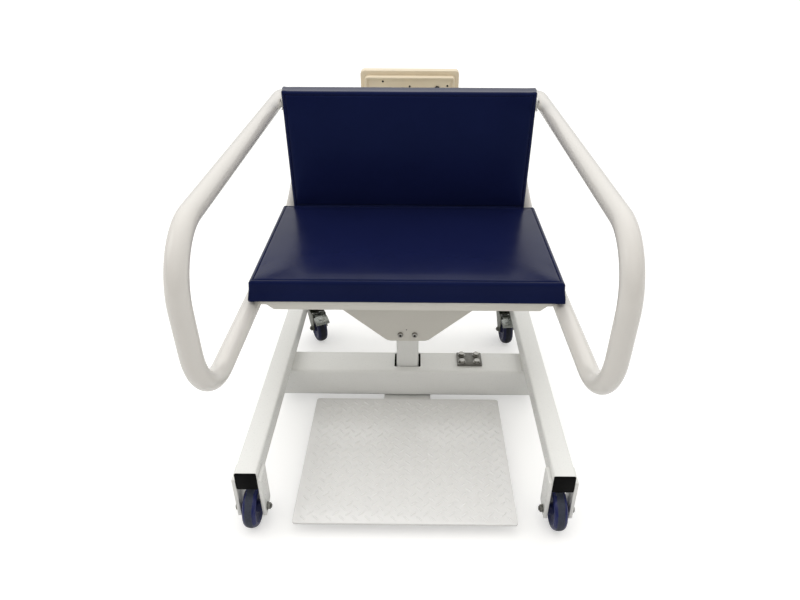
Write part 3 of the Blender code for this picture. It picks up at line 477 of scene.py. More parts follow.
def hexagon(name, flat, height, matrix, turn=0.0, hole=0.0, both=False):
    """Hexagonal head or nut on local z from 0 to height, its outer corners turned down as on a real one."""
    bm = bmesh.new()
    bmesh.ops.create_cone(bm, cap_ends=True, segments=6, radius1=flat / math.sqrt(3), radius2=flat / math.sqrt(3), depth=height)
    bmesh.ops.translate(bm, vec=(0, 0, height / 2), verts=bm.verts)
    bmesh.ops.rotate(bm, verts=bm.verts, cent=(0, 0, 0), matrix=Matrix.Rotation(turn, 3, "Z"))
    obj = put(name, bm)
    r, c = flat / math.sqrt(3) * 1.001, flat * 0.5 * 0.95
    drop = (r - c) * 0.55
    low = -0.0001 if not both else 0.0
    profile = [(0, low), (c if both else r, low)] + ([(r, drop)] if both else []) + [(r, height - drop), (c, height), (0, height)]
    boolean(obj, lathe(name + "_chamfer", profile, steps=48), "INTERSECT")
    if hole:
        boolean(obj, lathe(name + "_hole", [(0, -0.01), (hole, -0.01), (hole, height + 0.01), (0, height + 0.01)], steps=32))
    obj.data.transform(matrix)
    return obj


def thread(name, r, z0, z1, matrix, pitch=0.0015, tip=True):
    """Threaded end on local z from z0 to z1."""
    profile = [(0, z0)]
    count = max(2, int((z1 - z0) / pitch))
    for k in range(count):
        z = z0 + (z1 - z0 - (0.0008 if tip else 0.0)) * k / count
        profile += [(r * 0.90, z), (r, z + pitch * 0.5)]
    profile += [(r * 0.86, z1 - 0.0008 if tip else z1), (r * 0.70, z1), (0, z1)]
    return lathe(name, profile, matrix, 32)


def bead(name, a, b, radius=0.0024, pitch=0.0042, body="base", push=(0, 0, 0)):
    """Painted weld bead: overlapping scallops along a line, half sunk in the corner it fills."""
    a, b, push = Vector(a), Vector(b), Vector(push)
    length = (b - a).length
    count = max(2, int(length / pitch))
    path, radii = [], []
    for k in range(count * 5 + 1):
        t = k / (count * 5)
        phase = (k % 5) / 5.0
        wobble = 0.00025 * math.sin(k * 0.37) + 0.0002 * math.sin(k * 0.91)
        path.append(a.lerp(b, t) + push * (1.0 + 60.0 * wobble))
        r = radius * (0.86 + 0.16 * math.sin(math.pi * phase)) + wobble
        radii.append(r * (0.45 if k in (0, count * 5) else 1.0))
    obj = sweep(name, path, radius, 10, radii)
    return keep(obj, SEALANT, body, angle=None)


def at(origin, z_dir, turn=0.0):
    """Matrix with local Z along a direction."""
    return Matrix.Translation(Vector(origin)) @ Vector((0, 0, 1)).rotation_difference(Vector(z_dir)).to_matrix().to_4x4() @ Matrix.Rotation(turn, 4, "Z")


# ---------------------------------------------------------------- driving dimensions, as in the solids
GAP = 0.0003
RAIL, WALL, RAIL_X, RAIL_TOP = 0.050, 0.003, 0.3587, 0.1744
RAIL_Y = (-0.466, 0.360)
RAIL_MID, RAIL_LOW = RAIL_TOP - RAIL / 2, RAIL_TOP - RAIL
CAP_T = 0.0027
WHEEL_R, WHEEL_HALF, WHEEL_Y = 0.050, 0.016, -0.4514
PLATE_T = 0.008
BEAM_Y, BEAM_H, BEAM_HALF = (-0.0395, 0.0565), 0.088, 0.3837
BEAM_TOP = RAIL_LOW - GAP
BEAM_LOW = BEAM_TOP - BEAM_H
MEMBER_Y = (0.306, 0.356)
CASTER_X, CASTER_Y, TRAIL = 0.3235, 0.331, 0.042
CASTER_YAW = {"left": math.radians(26.0), "right": math.radians(6.0)}
COLUMN_X, COLUMN_Y, COLUMN_TOP = 0.0315, (-0.0135, 0.0485), 0.405
BRACKET_Y = (-0.0185, 0.0535)
PAN_TOP = 0.4577
TUBE_R, ARM_X, ARM_FRONT, ARM_TOP, ARM_LOW, ARM_BEND = 0.0212, 0.390, -0.536, 0.782, 0.430, 0.130
UPRIGHT_X, UPRIGHT_Y, UPRIGHT_TOP = 0.335, 0.333, 0.800
JOINT_Y, PUSH_DIP_Y, PUSH_Y, PUSH_TOP, PUSH_BEND = 0.4098, 0.436, 0.536, 0.766, 0.080
SCREW_X, SCREW_Z = 0.0200, 0.240
CLAMP_Y = 0.017
RAIL_BACK_Y = UPRIGHT_Y + TUBE_R + GAP
FOOT_X, FOOT_Y, FOOT_Z = 0.264, (-0.487, -0.0535), (0.029, 0.035)
SIDES = (("left", -1.0), ("right", 1.0))

# ---------------------------------------------------------------- base frame
for side, s in SIDES:
    mid = (RAIL_Y[0] + RAIL_Y[1]) / 2
    rail = slab("rail_tube_" + side, [rect(RAIL, RAIL, 0.0042), rect(RAIL - 2 * WALL, RAIL - 2 * WALL, 0.002)],
                RAIL_Y[1] - RAIL_Y[0], axes((1, 0, 0), (0, 0, 1), (s * RAIL_X, mid, RAIL_MID)), 0.0004, 1)
    keep(rail, WHITE, replaces="rail_" + side, angle=25)

    # end plugs: pillowed flange with a rounded rim
    for end, y, out in (("front", RAIL_Y[0] - GAP, -1.0), ("rear", RAIL_Y[1] + GAP, 1.0)):
        cap = slab("plug_" + end + "_" + side, [rect(RAIL - 0.0006, RAIL - 0.0006, 0.0038)], CAP_T,
                   axes((1, 0, 0), (0, 0, 1), (s * RAIL_X, y + out * CAP_T / 2, RAIL_MID)), 0.0006, 3)
        face = slab("plug_face", [rect(RAIL - 0.006, RAIL - 0.006, 0.004)], 0.0006,
                    axes((1, 0, 0), (0, 0, 1), (s * RAIL_X, y + out * (CAP_T + 0.0001), RAIL_MID)), 0.00025, 2)
        stem = block("plug_stem", (s * RAIL_X - 0.0212, min(y, y - out * 0.014), RAIL_MID - 0.0212),
                     (s * RAIL_X + 0.0212, max(y, y - out * 0.014), RAIL_MID + 0.0212))
        keep(merge("end_plug_" + end + "_" + side, [cap, face, stem]), BLACK, replaces="rail_cap_%s_%s" % (end, side),
             angle=30)

    # fork plates
    shape = rounded([(-0.468, 0.0335), (-0.447, 0.0335), (-0.418, 0.044), (-0.418, 0.1535), (-0.468, 0.1535)],
                    [0.004, 0.006, 0.006, 0.003, 0.003], 6)
    for which, x in (("outer", RAIL_X + RAIL / 2 + GAP + PLATE_T / 2), ("inner", RAIL_X - RAIL / 2 - GAP - PLATE_T / 2)):
        fork = slab("cheek_%s_%s" % (which, side), [shape, ring(0.0065, WHEEL_Y, WHEEL_R)], PLATE_T,
                    axes((0, 1, 0), (0, 0, 1), (s * x, 0, 0)), 0.0007, 2)
        keep(fork, WHITE, replaces="fork_plate_%s_%s" % (which, side), angle=35)
    for name, x in (("outer", RAIL_X + RAIL / 2), ("inner", RAIL_X - RAIL / 2)):
        out = s * (1.0 if name == "outer" else -1.0)
        edge = s * x + out * 0.0012
        bead("bead_cheek_rear_%s_%s" % (name, side), (edge, -0.4175, 0.150), (edge, -0.4175, 0.127), 0.0018)

    # axle: head outside, nut and thread inside
    x_out = s * (RAIL_X + RAIL / 2 + 2 * GAP + PLATE_T)
    x_in = s * (RAIL_X - RAIL / 2 - 2 * GAP - PLATE_T)
    out, inn = (s, 0, 0), (-s, 0, 0)
    shank = sweep("shank", [Vector((x_out, WHEEL_Y, WHEEL_R)), Vector((x_in, WHEEL_Y, WHEEL_R))], 0.0060, 32)
    head = hexagon("head", 0.0165, 0.0060, at((x_out, WHEEL_Y, WHEEL_R), out, 0.35))
    washer = lathe("washer", [(0.0062, 0), (0.0098, 0), (0.0100, 0.0004), (0.0098, 0.0012), (0.0062, 0.0012)], at((x_in, WHEEL_Y, WHEEL_R), inn), 48)
    nut = hexagon("nut", 0.0155, 0.0066, at((x_in - s * 0.0012, WHEEL_Y, WHEEL_R), inn, 0.15), both=True)
    tip = thread("tip", 0.0056, 0.0072, 0.0108, at((x_in, WHEEL_Y, WHEEL_R), inn))
    keep(merge("wheel_bolt_" + side, [shank, head, washer, nut, tip]), NUT, replaces="front_axle_" + side, angle=28)


def wheel(prefix, core_node, tyre_node, body, matrix, boss, tyre_mat, core_mat):
    """Moulded wheel: hub, dished web and rim, and a crowned tyre."""
    side_face = [(0.0120, boss), (0.0128, boss - 0.0006), (0.0138, 0.0140), (0.0150, 0.0122), (0.0172, 0.0113), (0.0230, 0.0112),
                 (0.0285, 0.0117), (0.0310, 0.0128), (0.0330, 0.0143), (0.0346, 0.0150), (0.0380, 0.0150)]
    core = lathe("core", [(0.0068, -boss)] + [(r, -z) for r, z in side_face] + list(reversed(side_face)) + [(0.0068, boss)], None, 72)
    ribs = []
    for f in (-1.0, 1.0):
        ribs.append(lathe("face_ring", [(0.0208, f * 0.0109), (0.0214, f * 0.0117), (0.0222, f * 0.0119), (0.0230, f * 0.0117), (0.0236, f * 0.0109)], None, 72))
    ring_hub = [lathe("hub_ring", [(0.0069, f * (boss - 0.0008)), (0.0095, f * (boss - 0.0008)), (0.0095, f * (boss + 0.0002)), (0.0088, f * (boss + 0.0004)),
                                   (0.0069, f * (boss + 0.0004))], None, 48) for f in (-1.0, 1.0)]
    whole = merge(prefix + "_core", [core] + ribs + ring_hub)
    whole.data.transform(matrix)
    keep(whole, core_mat, body, core_node, 35)
    h = WHEEL_HALF
    half = [(0.0374, h - 0.0008), (0.0382, h - 0.0002), (0.0400, h), (0.0420, h - 0.0003), (0.0438, h - 0.0011), (0.0454, h - 0.0024),
            (0.0468, h - 0.0041), (0.0479, h - 0.0061), (0.0488, h - 0.0084), (0.0494, h - 0.0108), (0.0498, h - 0.0134), (WHEEL_R, 0.0008)]
    profile = [(r, z) for r, z in half] + [(r, -z) for r, z in reversed(half)] + [(0.0372, 0.0)]
    tyre = lathe(prefix + "_tyre", profile, None, 96)
    tyre.matrix_world = matrix
    keep(tyre, tyre_mat, body, tyre_node, 30)
    lines = [lathe("line", [(0.0384, f * (h - 0.0008)), (0.0389, f * (h + 0.0002)), (0.0396, f * (h - 0.0003))], matrix, 72, closed=True) for f in (-1.0, 1.0)]
    keep(merge(prefix + "_mould_line", lines), core_mat, body, angle=30)


for side, s in SIDES:
    wheel("front_" + side, "front_wheel_core_" + side, "front_wheel_tyre_" + side, "front_wheel_" + side,
          axes((0, 1, 0), (0, 0, 1), (s * RAIL_X, WHEEL_Y, WHEEL_R)), 0.0242, TYRE, CORE)

# cross beam
centre = (sum(BEAM_Y) / 2, (BEAM_TOP + BEAM_LOW) / 2)
width = BEAM_Y[1] - BEAM_Y[0]
beam = slab("beam_body", [rect(width, BEAM_H, 0.0075), rect(width - 0.008, BEAM_H - 0.008, 0.0035)], 2 * BEAM_HALF - 0.008,
            axes((0, 1, 0), (0, 0, 1), (0, centre[0], centre[1])))
slot_cut = slab("slot_cut", [rect(0.0764, COLUMN_Y[1] - COLUMN_Y[0] + 0.0045, 0.004, 5, 0.0, (COLUMN_Y[0] + COLUMN_Y[1]) / 2 + 0.00025)], 0.03,
                axes((1, 0, 0), (0, 1, 0), (0, 0, BEAM_TOP)))
boolean(beam, slot_cut)
open_cut = slab("open_cut", [rect(0.080, 0.060, 0.005, 5, 0.0, 0.020)], 0.03, axes((1, 0, 0), (0, 1, 0), (0, 0, BEAM_LOW)))
boolean(beam, open_cut)
# a near-black sheet under the beam's top wall round the column: painted shade that makes the slot look dark
slot_shade = slab("slot_seal", [rect(0.084, 0.078, 0.004, 5, 0.0, 0.0165), rect(0.0655, 0.0645, 0.007, 6, 0.0, 0.0175)], 0.0030,
            axes((1, 0, 0), (0, 1, 0), (0, 0, BEAM_TOP - 0.0062)), 0.0005, 2)
keep(slot_shade, PAINTED_SHADE, angle=30)
ends = [slab("beam_end", [rect(width, BEAM_H, 0.0075)], 0.004, axes((0, 1, 0), (0, 0, 1), (s * (BEAM_HALF - 0.002), centre[0], centre[1])), 0.0006, 2)
        for s in (-1.0, 1.0)]
keep(merge("beam_shell", [beam] + ends), WHITE, replaces="cross_beam", angle=25)
for side, s in SIDES:
    for name, y, out in (("front", BEAM_Y[0], -1.0), ("rear", BEAM_Y[1], 1.0)):
        bead("bead_beam_%s_%s" % (name, side), (s * (RAIL_X - 0.022), y + out * -0.006, BEAM_TOP + 0.0002),
             (s * (RAIL_X + 0.022), y + out * -0.006, BEAM_TOP + 0.0002), 0.0020, push=(0, out * 0.002, 0))
    bead("bead_beam_inner_" + side, (s * (RAIL_X - RAIL / 2 - 0.0004), BEAM_Y[0] + 0.009, BEAM_TOP + 0.0006),
         (s * (RAIL_X - RAIL / 2 - 0.0004), BEAM_Y[1] - 0.009, BEAM_TOP + 0.0006), 0.0022)

member = slab("member_tube", [rect(0.050, 0.050, 0.0055), rect(0.044, 0.044, 0.003)], 2 * (RAIL_X - RAIL / 2 - GAP),
              axes((0, 1, 0), (0, 0, 1), (0, sum(MEMBER_Y) / 2, RAIL_MID)))
keep(member, WHITE, replaces="rear_cross_member", angle=25)
for side, s in SIDES:
    x = s * (RAIL_X - RAIL / 2 - 0.0006)
    for k, y in enumerate(MEMBER_Y):
        bead("bead_member_%d_%s" % (k, side), (x, y, RAIL_LOW + 0.006), (x, y, RAIL_TOP - 0.006), 0.0022)

# ---------------------------------------------------------------- weighing part
clamp_z = BEAM_TOP + GAP
clamp = slab("clamp_plate", [rect(0.072, 0.058, 0.0015, 3, 0.181, CLAMP_Y)], 0.006, axes((1, 0, 0), (0, 1, 0), (0, 0, clamp_z + 0.003)), 0.0006, 2)
keep(clamp, PLATE, replaces="load_cell_plate", angle=35)
number = 0
for dx in (-0.0215, 0.0215):
    for dy in (-0.0165, 0.0165):
        number += 1
        x, y, top = 0.181 + dx, CLAMP_Y + dy, clamp_z + 0.006 + GAP
        spot = at((x, y, top), (0, 0, 1))
        washer = lathe("washer", [(0.0050, 0), (0.0103, 0), (0.0105, 0.0003), (0.0102, 0.0016), (0.0050, 0.0016)], spot, 48)
        head = hexagon("head", 0.0156, 0.0060, at((x, y, top + 0.0016), (0, 0, 1), 0.3 * number + 0.2))
        dish = lathe("dish", [(0, 0.0072), (0.0044, 0.0072), (0.0052, 0.0079), (0, 0.0079)], spot, 40)
        shank = sweep("shank", [Vector((x, y, 0.080)), Vector((x, y, top + 0.003))], 0.0049, 24)
        boolean(head, dish)
        keep(merge("clamp_bolt_%d" % number, [washer, head, shank]), BOLT, replaces="load_cell_bolt_%d" % number, angle=28)

column = slab("column_tube", [rect(0.063, 0.062, 0.0065, 8, 0, 0.0175), rect(0.055, 0.054, 0.003, 4, 0, 0.0175)], COLUMN_TOP - 0.1003,
              axes((1, 0, 0), (0, 1, 0), (0, 0, (COLUMN_TOP + 0.1003) / 2)), 0.0008, 2)
foot_plate = slab("column_foot", [rect(0.0556, 0.0546, 0.003, 4, 0, 0.0175)], 0.008, axes((1, 0, 0), (0, 1, 0), (0, 0, 0.1048)))
keep(merge("column_post", [column, foot_plate]), WHITE, replaces="column", angle=30)

# folded bracket: bent edges of 4 mm radius between its front, its slopes and its bottom
low_z, top_z, slope, half_low = 0.2170, PAN_TOP - 0.0065, 1.186, 0.0560
half_top = half_low + (top_z - low_z) * slope
shape = rounded([(-half_low, low_z), (half_low, low_z), (half_top, top_z), (-half_top, top_z)], [0.030, 0.030, 0.0, 0.0], 14)
bracket = slab("bracket_shell", [shape], BRACKET_Y[1] - BRACKET_Y[0], axes((1, 0, 0), (0, 0, 1), (0, sum(BRACKET_Y) / 2, 0)), 0.0032, 5)
w = 0.004
side_w = w * math.hypot(1.0, slope)
half_in = half_low - side_w + w * slope
shape = rounded([(-half_in, low_z + w), (half_in, low_z + w), (half_in + (top_z + 0.016 - low_z) * slope, top_z + 0.02),
                 (-half_in - (top_z + 0.016 - low_z) * slope, top_z + 0.02)], [0.027, 0.027, 0.0, 0.0], 10)
boolean(bracket, slab("bracket_inner", [shape], BRACKET_Y[1] - BRACKET_Y[0] - 2 * w, axes((1, 0, 0), (0, 0, 1), (0, sum(BRACKET_Y) / 2, 0))))
boolean(bracket, block("mouth", (-COLUMN_X - 0.0006, COLUMN_Y[0] - 0.0006, low_z - 0.01), (COLUMN_X + 0.0006, COLUMN_Y[1] + 0.0006, low_z + 0.03)))
sight = lathe("sight", [(0, -0.004), (0.0017, -0.004), (0.0017, 0.004), (0, 0.004)], at((-0.0027, BRACKET_Y[0], 0.2559), (0, -1, 0)), 20)
boolean(bracket, sight)
# a near-black disc inside the sight hole: painted shade in the hole
spot = at((-0.0027, BRACKET_Y[0], 0.2559), (0, -1, 0))
keep(lathe("sight_inside", [(0, -0.0030), (0.0016, -0.0030), (0.0016, -0.0008), (0, -0.0008)], spot, 16), PAINTED_SHADE)
keep(bracket, SHADED_WHITE, replaces="seat_bracket", angle=25)
for side, s in SIDES:
    x = s * SCREW_X
    spot = at((x, BRACKET_Y[0], SCREW_Z), (0, -1, 0))
    head = lathe("head", [(0, 0.0), (0.0070, 0.0), (0.0072, 0.0004), (0.0072, 0.0057), (0.0069, 0.0064), (0.0063, 0.0067), (0, 0.0067)], spot, 48)
    hollow = lathe("hollow", [(0, 0.0030), (0.0020, 0.0036), (0.00395, 0.0036), (0.00395, 0.0068), (0.0042, 0.0074), (0, 0.0074)], spot, 6)
    boolean(head, hollow)
    ring_under = lathe("ring_under", [(0.0050, 0.0001), (0.0081, 0.0001), (0.0082, 0.0005), (0.0079, 0.0012), (0.0050, 0.0012)], spot, 48)
    shank = sweep("shank", [Vector((x, COLUMN_Y[0] + 0.0035, SCREW_Z)), Vector((x, BRACKET_Y[0] - 0.001, SCREW_Z))], 0.0040, 24)
    keep(merge("cap_screw_" + side, [head, ring_under, shank]), BOLT, replaces="bracket_screw_" + side, angle=30)
    # a near-black hexagon at the bottom of the socket: painted shade in the socket
    dark = lathe("dark", [(0, 0.00315), (0.0036, 0.0037), (0.0036, 0.0039), (0, 0.0039)], spot, 6)
    keep(dark, PAINTED_SHADE)


def bar_x(y):
    return ARM_X - 0.003 - (y - ARM_FRONT) * (ARM_X - 0.003 - 0.372) / (UPRIGHT_Y - ARM_FRONT)


pan = block("pan_body", (-0.3545, -0.1860, 0.4235), (0.3545, 0.2480, 0.4560), taper=(0.9140, 0.9613))
bevel(pan, 0.0042, 5)
boolean(pan, block("pan_inner", (-0.3485, -0.1816, 0.4205), (0.3485, 0.2436, PAN_TOP - 0.0062), taper=(0.9110, 0.9600)))
lip = slab("pan_lip", [rect(0.7114, 0.4404, 0.0096, 8, cy=0.0320)], 0.0034, axes((1, 0, 0), (0, 1, 0), (0, 0, PAN_TOP - 0.0018)))
rim = slab("pan_rim", [rect(0.712, 0.441, 0.010, 8, cy=0.0320), rect(0.698, 0.429, 0.006, 6, cy=0.0320)], 0.0116,
           axes((1, 0, 0), (0, 1, 0), (0, 0, PAN_TOP - 0.0058)), 0.0014, 4)
tabs = []
for side, s in SIDES:
    for k, y in enumerate((-0.10, 0.13)):
        x0, x1 = sorted((s * 0.3345, s * (bar_x(y + 0.03) - 0.0205)))
        tab = block("tab", (x0, y - 0.030, 0.4350), (x1, y + 0.030, 0.4400))
        tabs.append(bevel(tab, 0.0008, 2))
        for f, end in enumerate((-0.030, 0.030)):
            bead("bead_tab_%s_%d_%d" % (side, k, f), (s * (bar_x(y) - 0.0212), y + end * 0.95, 0.4405 if f else 0.4345),
                 (s * (bar_x(y) - 0.0212), y - end * 0.95, 0.4405 if f else 0.4345), 0.0020)
keep(merge("pan_shell", [pan, lip, rim] + tabs), SHADED_WHITE, replaces="seat_pan", angle=25)

# foot bracket and tread plate
arm = slab("foot_arm", [rect(0.136, 0.446, 0.004, 4, cy=-0.177)], 0.006, axes((1, 0, 0), (0, 1, 0), (0, 0, FOOT_Z[0] - GAP - 0.003)), 0.001, 2)
stem = block("foot_stem", (-0.030, 0.000, FOOT_Z[0] - GAP - 0.002), (0.030, 0.040, 0.0597))
keep(merge("foot_hanger", [arm, bevel(stem, 0.002, 3)]), WHITE, replaces="foot_bracket", angle=30)
tread = slab("tread_base", [rect(2 * FOOT_X, FOOT_Y[1] - FOOT_Y[0], 0.008, 10)], FOOT_Z[1] - FOOT_Z[0],
             axes((1, 0, 0), (0, 1, 0), (0, sum(FOOT_Y) / 2, sum(FOOT_Z) / 2)), 0.0009, 3)
bm = bmesh.new()


def lug(x, y, angle, length=0.0225, half=0.0029, height=0.0017):
    """Raised bar with tapered ends, lying at an angle on the plate."""
    rows = 9
    c, s = math.cos(angle), math.sin(angle)
    grid = []
    for i in range(rows):
        u = -1.0 + 2.0 * i / (rows - 1)
        w_here = half * math.sqrt(max(0.0, 1.0 - abs(u) ** 2.6)) + 0.00025
        line = []
        for v, h in ((-1.0, 0.0), (-0.55, 0.82), (0.0, 1.0), (0.55, 0.82), (1.0, 0.0)):
            lift = h * height * (1.0 - abs(u) ** 4)
            px, py = u * length / 2, v * w_here
            line.append(bm.verts.new((x + px * c - py * s, y + px * s + py * c, FOOT_Z[1] - 0.0001 + lift)))
        grid.append(line)
    for i in range(rows - 1):
        for j in range(4):
            bm.faces.new((grid[i][j], grid[i + 1][j], grid[i + 1][j + 1], grid[i][j + 1]))
    bm.faces.new([row[0] for row in grid] + [row[-1] for row in reversed(grid)])
    bm.faces.new(list(reversed(grid[0])))
    bm.faces.new(grid[-1])


PITCH_X, PITCH_Y = 0.0305, 0.0285
for i in range(-9, 10):
    for j in range(-8, 9):
        for shift, angle in ((0.0, math.radians(-43)), (0.5, math.radians(43))):
            x = (i + shift) * PITCH_X + 0.004
            y = sum(FOOT_Y) / 2 + (j + shift) * PITCH_Y - 0.003
            if abs(x) < FOOT_X - 0.010 and FOOT_Y[0] + 0.010 < y < FOOT_Y[1] - 0.010:
                lug(x, y, angle)
lugs = put("lugs", bm)
keep(merge("tread_plate", [tread, lugs]), TREAD, replaces="footplate", angle=40)
for s in (-1.0, 1.0):
    bead("bead_foot_%d" % (s + 1), (s * 0.068, -0.395, FOOT_Z[0] - 0.0008), (s * 0.068, -0.06, FOOT_Z[0] - 0.0008), 0.0020)

# ---------------------------------------------------------------- tube frame
for side, s in SIDES:
    path = bent([(s * ARM_X, JOINT_Y - GAP, ARM_TOP), (s * ARM_X, ARM_FRONT, ARM_TOP), (s * (ARM_X - 0.003), ARM_FRONT, ARM_LOW),
                 (s * 0.372, UPRIGHT_Y, ARM_LOW), (s * UPRIGHT_X, UPRIGHT_Y, 0.565), (s * UPRIGHT_X, UPRIGHT_Y, UPRIGHT_TOP)],
                [ARM_BEND, ARM_BEND, 0.090, 0.120])
    keep(sweep("loop_tube_" + side, path, TUBE_R, 48), WARM_SHADED_WHITE, replaces="arm_tube_" + side, angle=50)
    plug = lathe("upright_plug_" + side, [(0, 0.0), (TUBE_R - 0.0004, 0.0), (TUBE_R - 0.0002, 0.0008), (TUBE_R - 0.0012, 0.0024), (0.013, 0.0030), (0, 0.0031)],
                 at((s * UPRIGHT_X, UPRIGHT_Y, UPRIGHT_TOP), (0, 0, 1)), 48)
    keep(plug, BLACK, angle=30)
    # ground weld where the loop meets the push bar
    seam = [(TUBE_R - 0.0008, -0.0032), (TUBE_R + 0.00020, -0.0020), (TUBE_R + 0.00045, -0.0007), (TUBE_R + 0.00045, 0.0007), (TUBE_R + 0.00020, 0.0020), (TUBE_R - 0.0008, 0.0032)]
    keep(lathe("bar_weld_" + side, seam, at((s * ARM_X, JOINT_Y, ARM_TOP), (0, 1, 0)), 64), WARM_SHADED_WHITE, angle=60)

path = bent([(-ARM_X, JOINT_Y + GAP, ARM_TOP), (-ARM_X, PUSH_DIP_Y, ARM_TOP), (-ARM_X, PUSH_Y, PUSH_TOP), (ARM_X, PUSH_Y, PUSH_TOP),
             (ARM_X, PUSH_DIP_Y, ARM_TOP), (ARM_X, JOINT_Y + GAP, ARM_TOP)], [0.200, PUSH_BEND, PUSH_BEND, 0.200])
keep(sweep("push_tube", path, TUBE_R, 48), WARM_SHADED_WHITE, replaces="push_bar", angle=50)

back = slab("back_rail_tube", [rect(0.030, 0.030, 0.0035), rect(0.025, 0.025, 0.002)], 2 * (ARM_X - TUBE_R - 0.0005),
            axes((0, 1, 0), (0, 0, 1), (0, RAIL_BACK_Y + 0.015, ARM_TOP)))
keep(back, WHITE, replaces="back_rail", angle=25)
for side, s in SIDES:
    for k, z in enumerate((ARM_TOP - 0.0155, ARM_TOP + 0.0155)):
        bead("bead_upright_%d_%s" % (k, side), (s * UPRIGHT_X - 0.010, RAIL_BACK_Y - 0.0006, z), (s * UPRIGHT_X + 0.010, RAIL_BACK_Y - 0.0006, z), 0.0024)
        bead("bead_back_end_%d_%s" % (k, side), (s * (ARM_X - TUBE_R - 0.0002), RAIL_BACK_Y + 0.003, z), (s * (ARM_X - TUBE_R - 0.0002), RAIL_BACK_Y + 0.027, z), 0.0022)

panel = slab("back_sheet", [rect(0.640, 0.312, 0.012, 8, cy=0.680)], 0.003, axes((1, 0, 0), (0, 0, 1), (0, 0.3098, 0)), 0.0006, 2)
keep(panel, WHITE, replaces="back_panel", angle=30)
for i, x in enumerate((-0.26, -0.09, 0.09, 0.26)):
    for j, z in enumerate((0.560, 0.730)):
        spot = at((x, 0.3113, z), (0, 1, 0))
        dome = lathe("dome", [(0, 0), (0.0060, 0), (0.0060, 0.0006), (0.0054, 0.0018), (0.0040, 0.0028), (0.0018, 0.0033), (0, 0.0034)], spot, 40)
        cross = [block("cross", (-0.0026, -0.00045, 0.0018), (0.0026, 0.00045, 0.0050), spot @ Matrix.Rotation(q, 4, "Z")) for q in (0.4, 0.4 + math.pi / 2)]
        for one in cross:
            boolean(dome, one)
        keep(dome, BOLT, angle=30)
        dome.name = "sheet_screw_%d_%d" % (i, j)

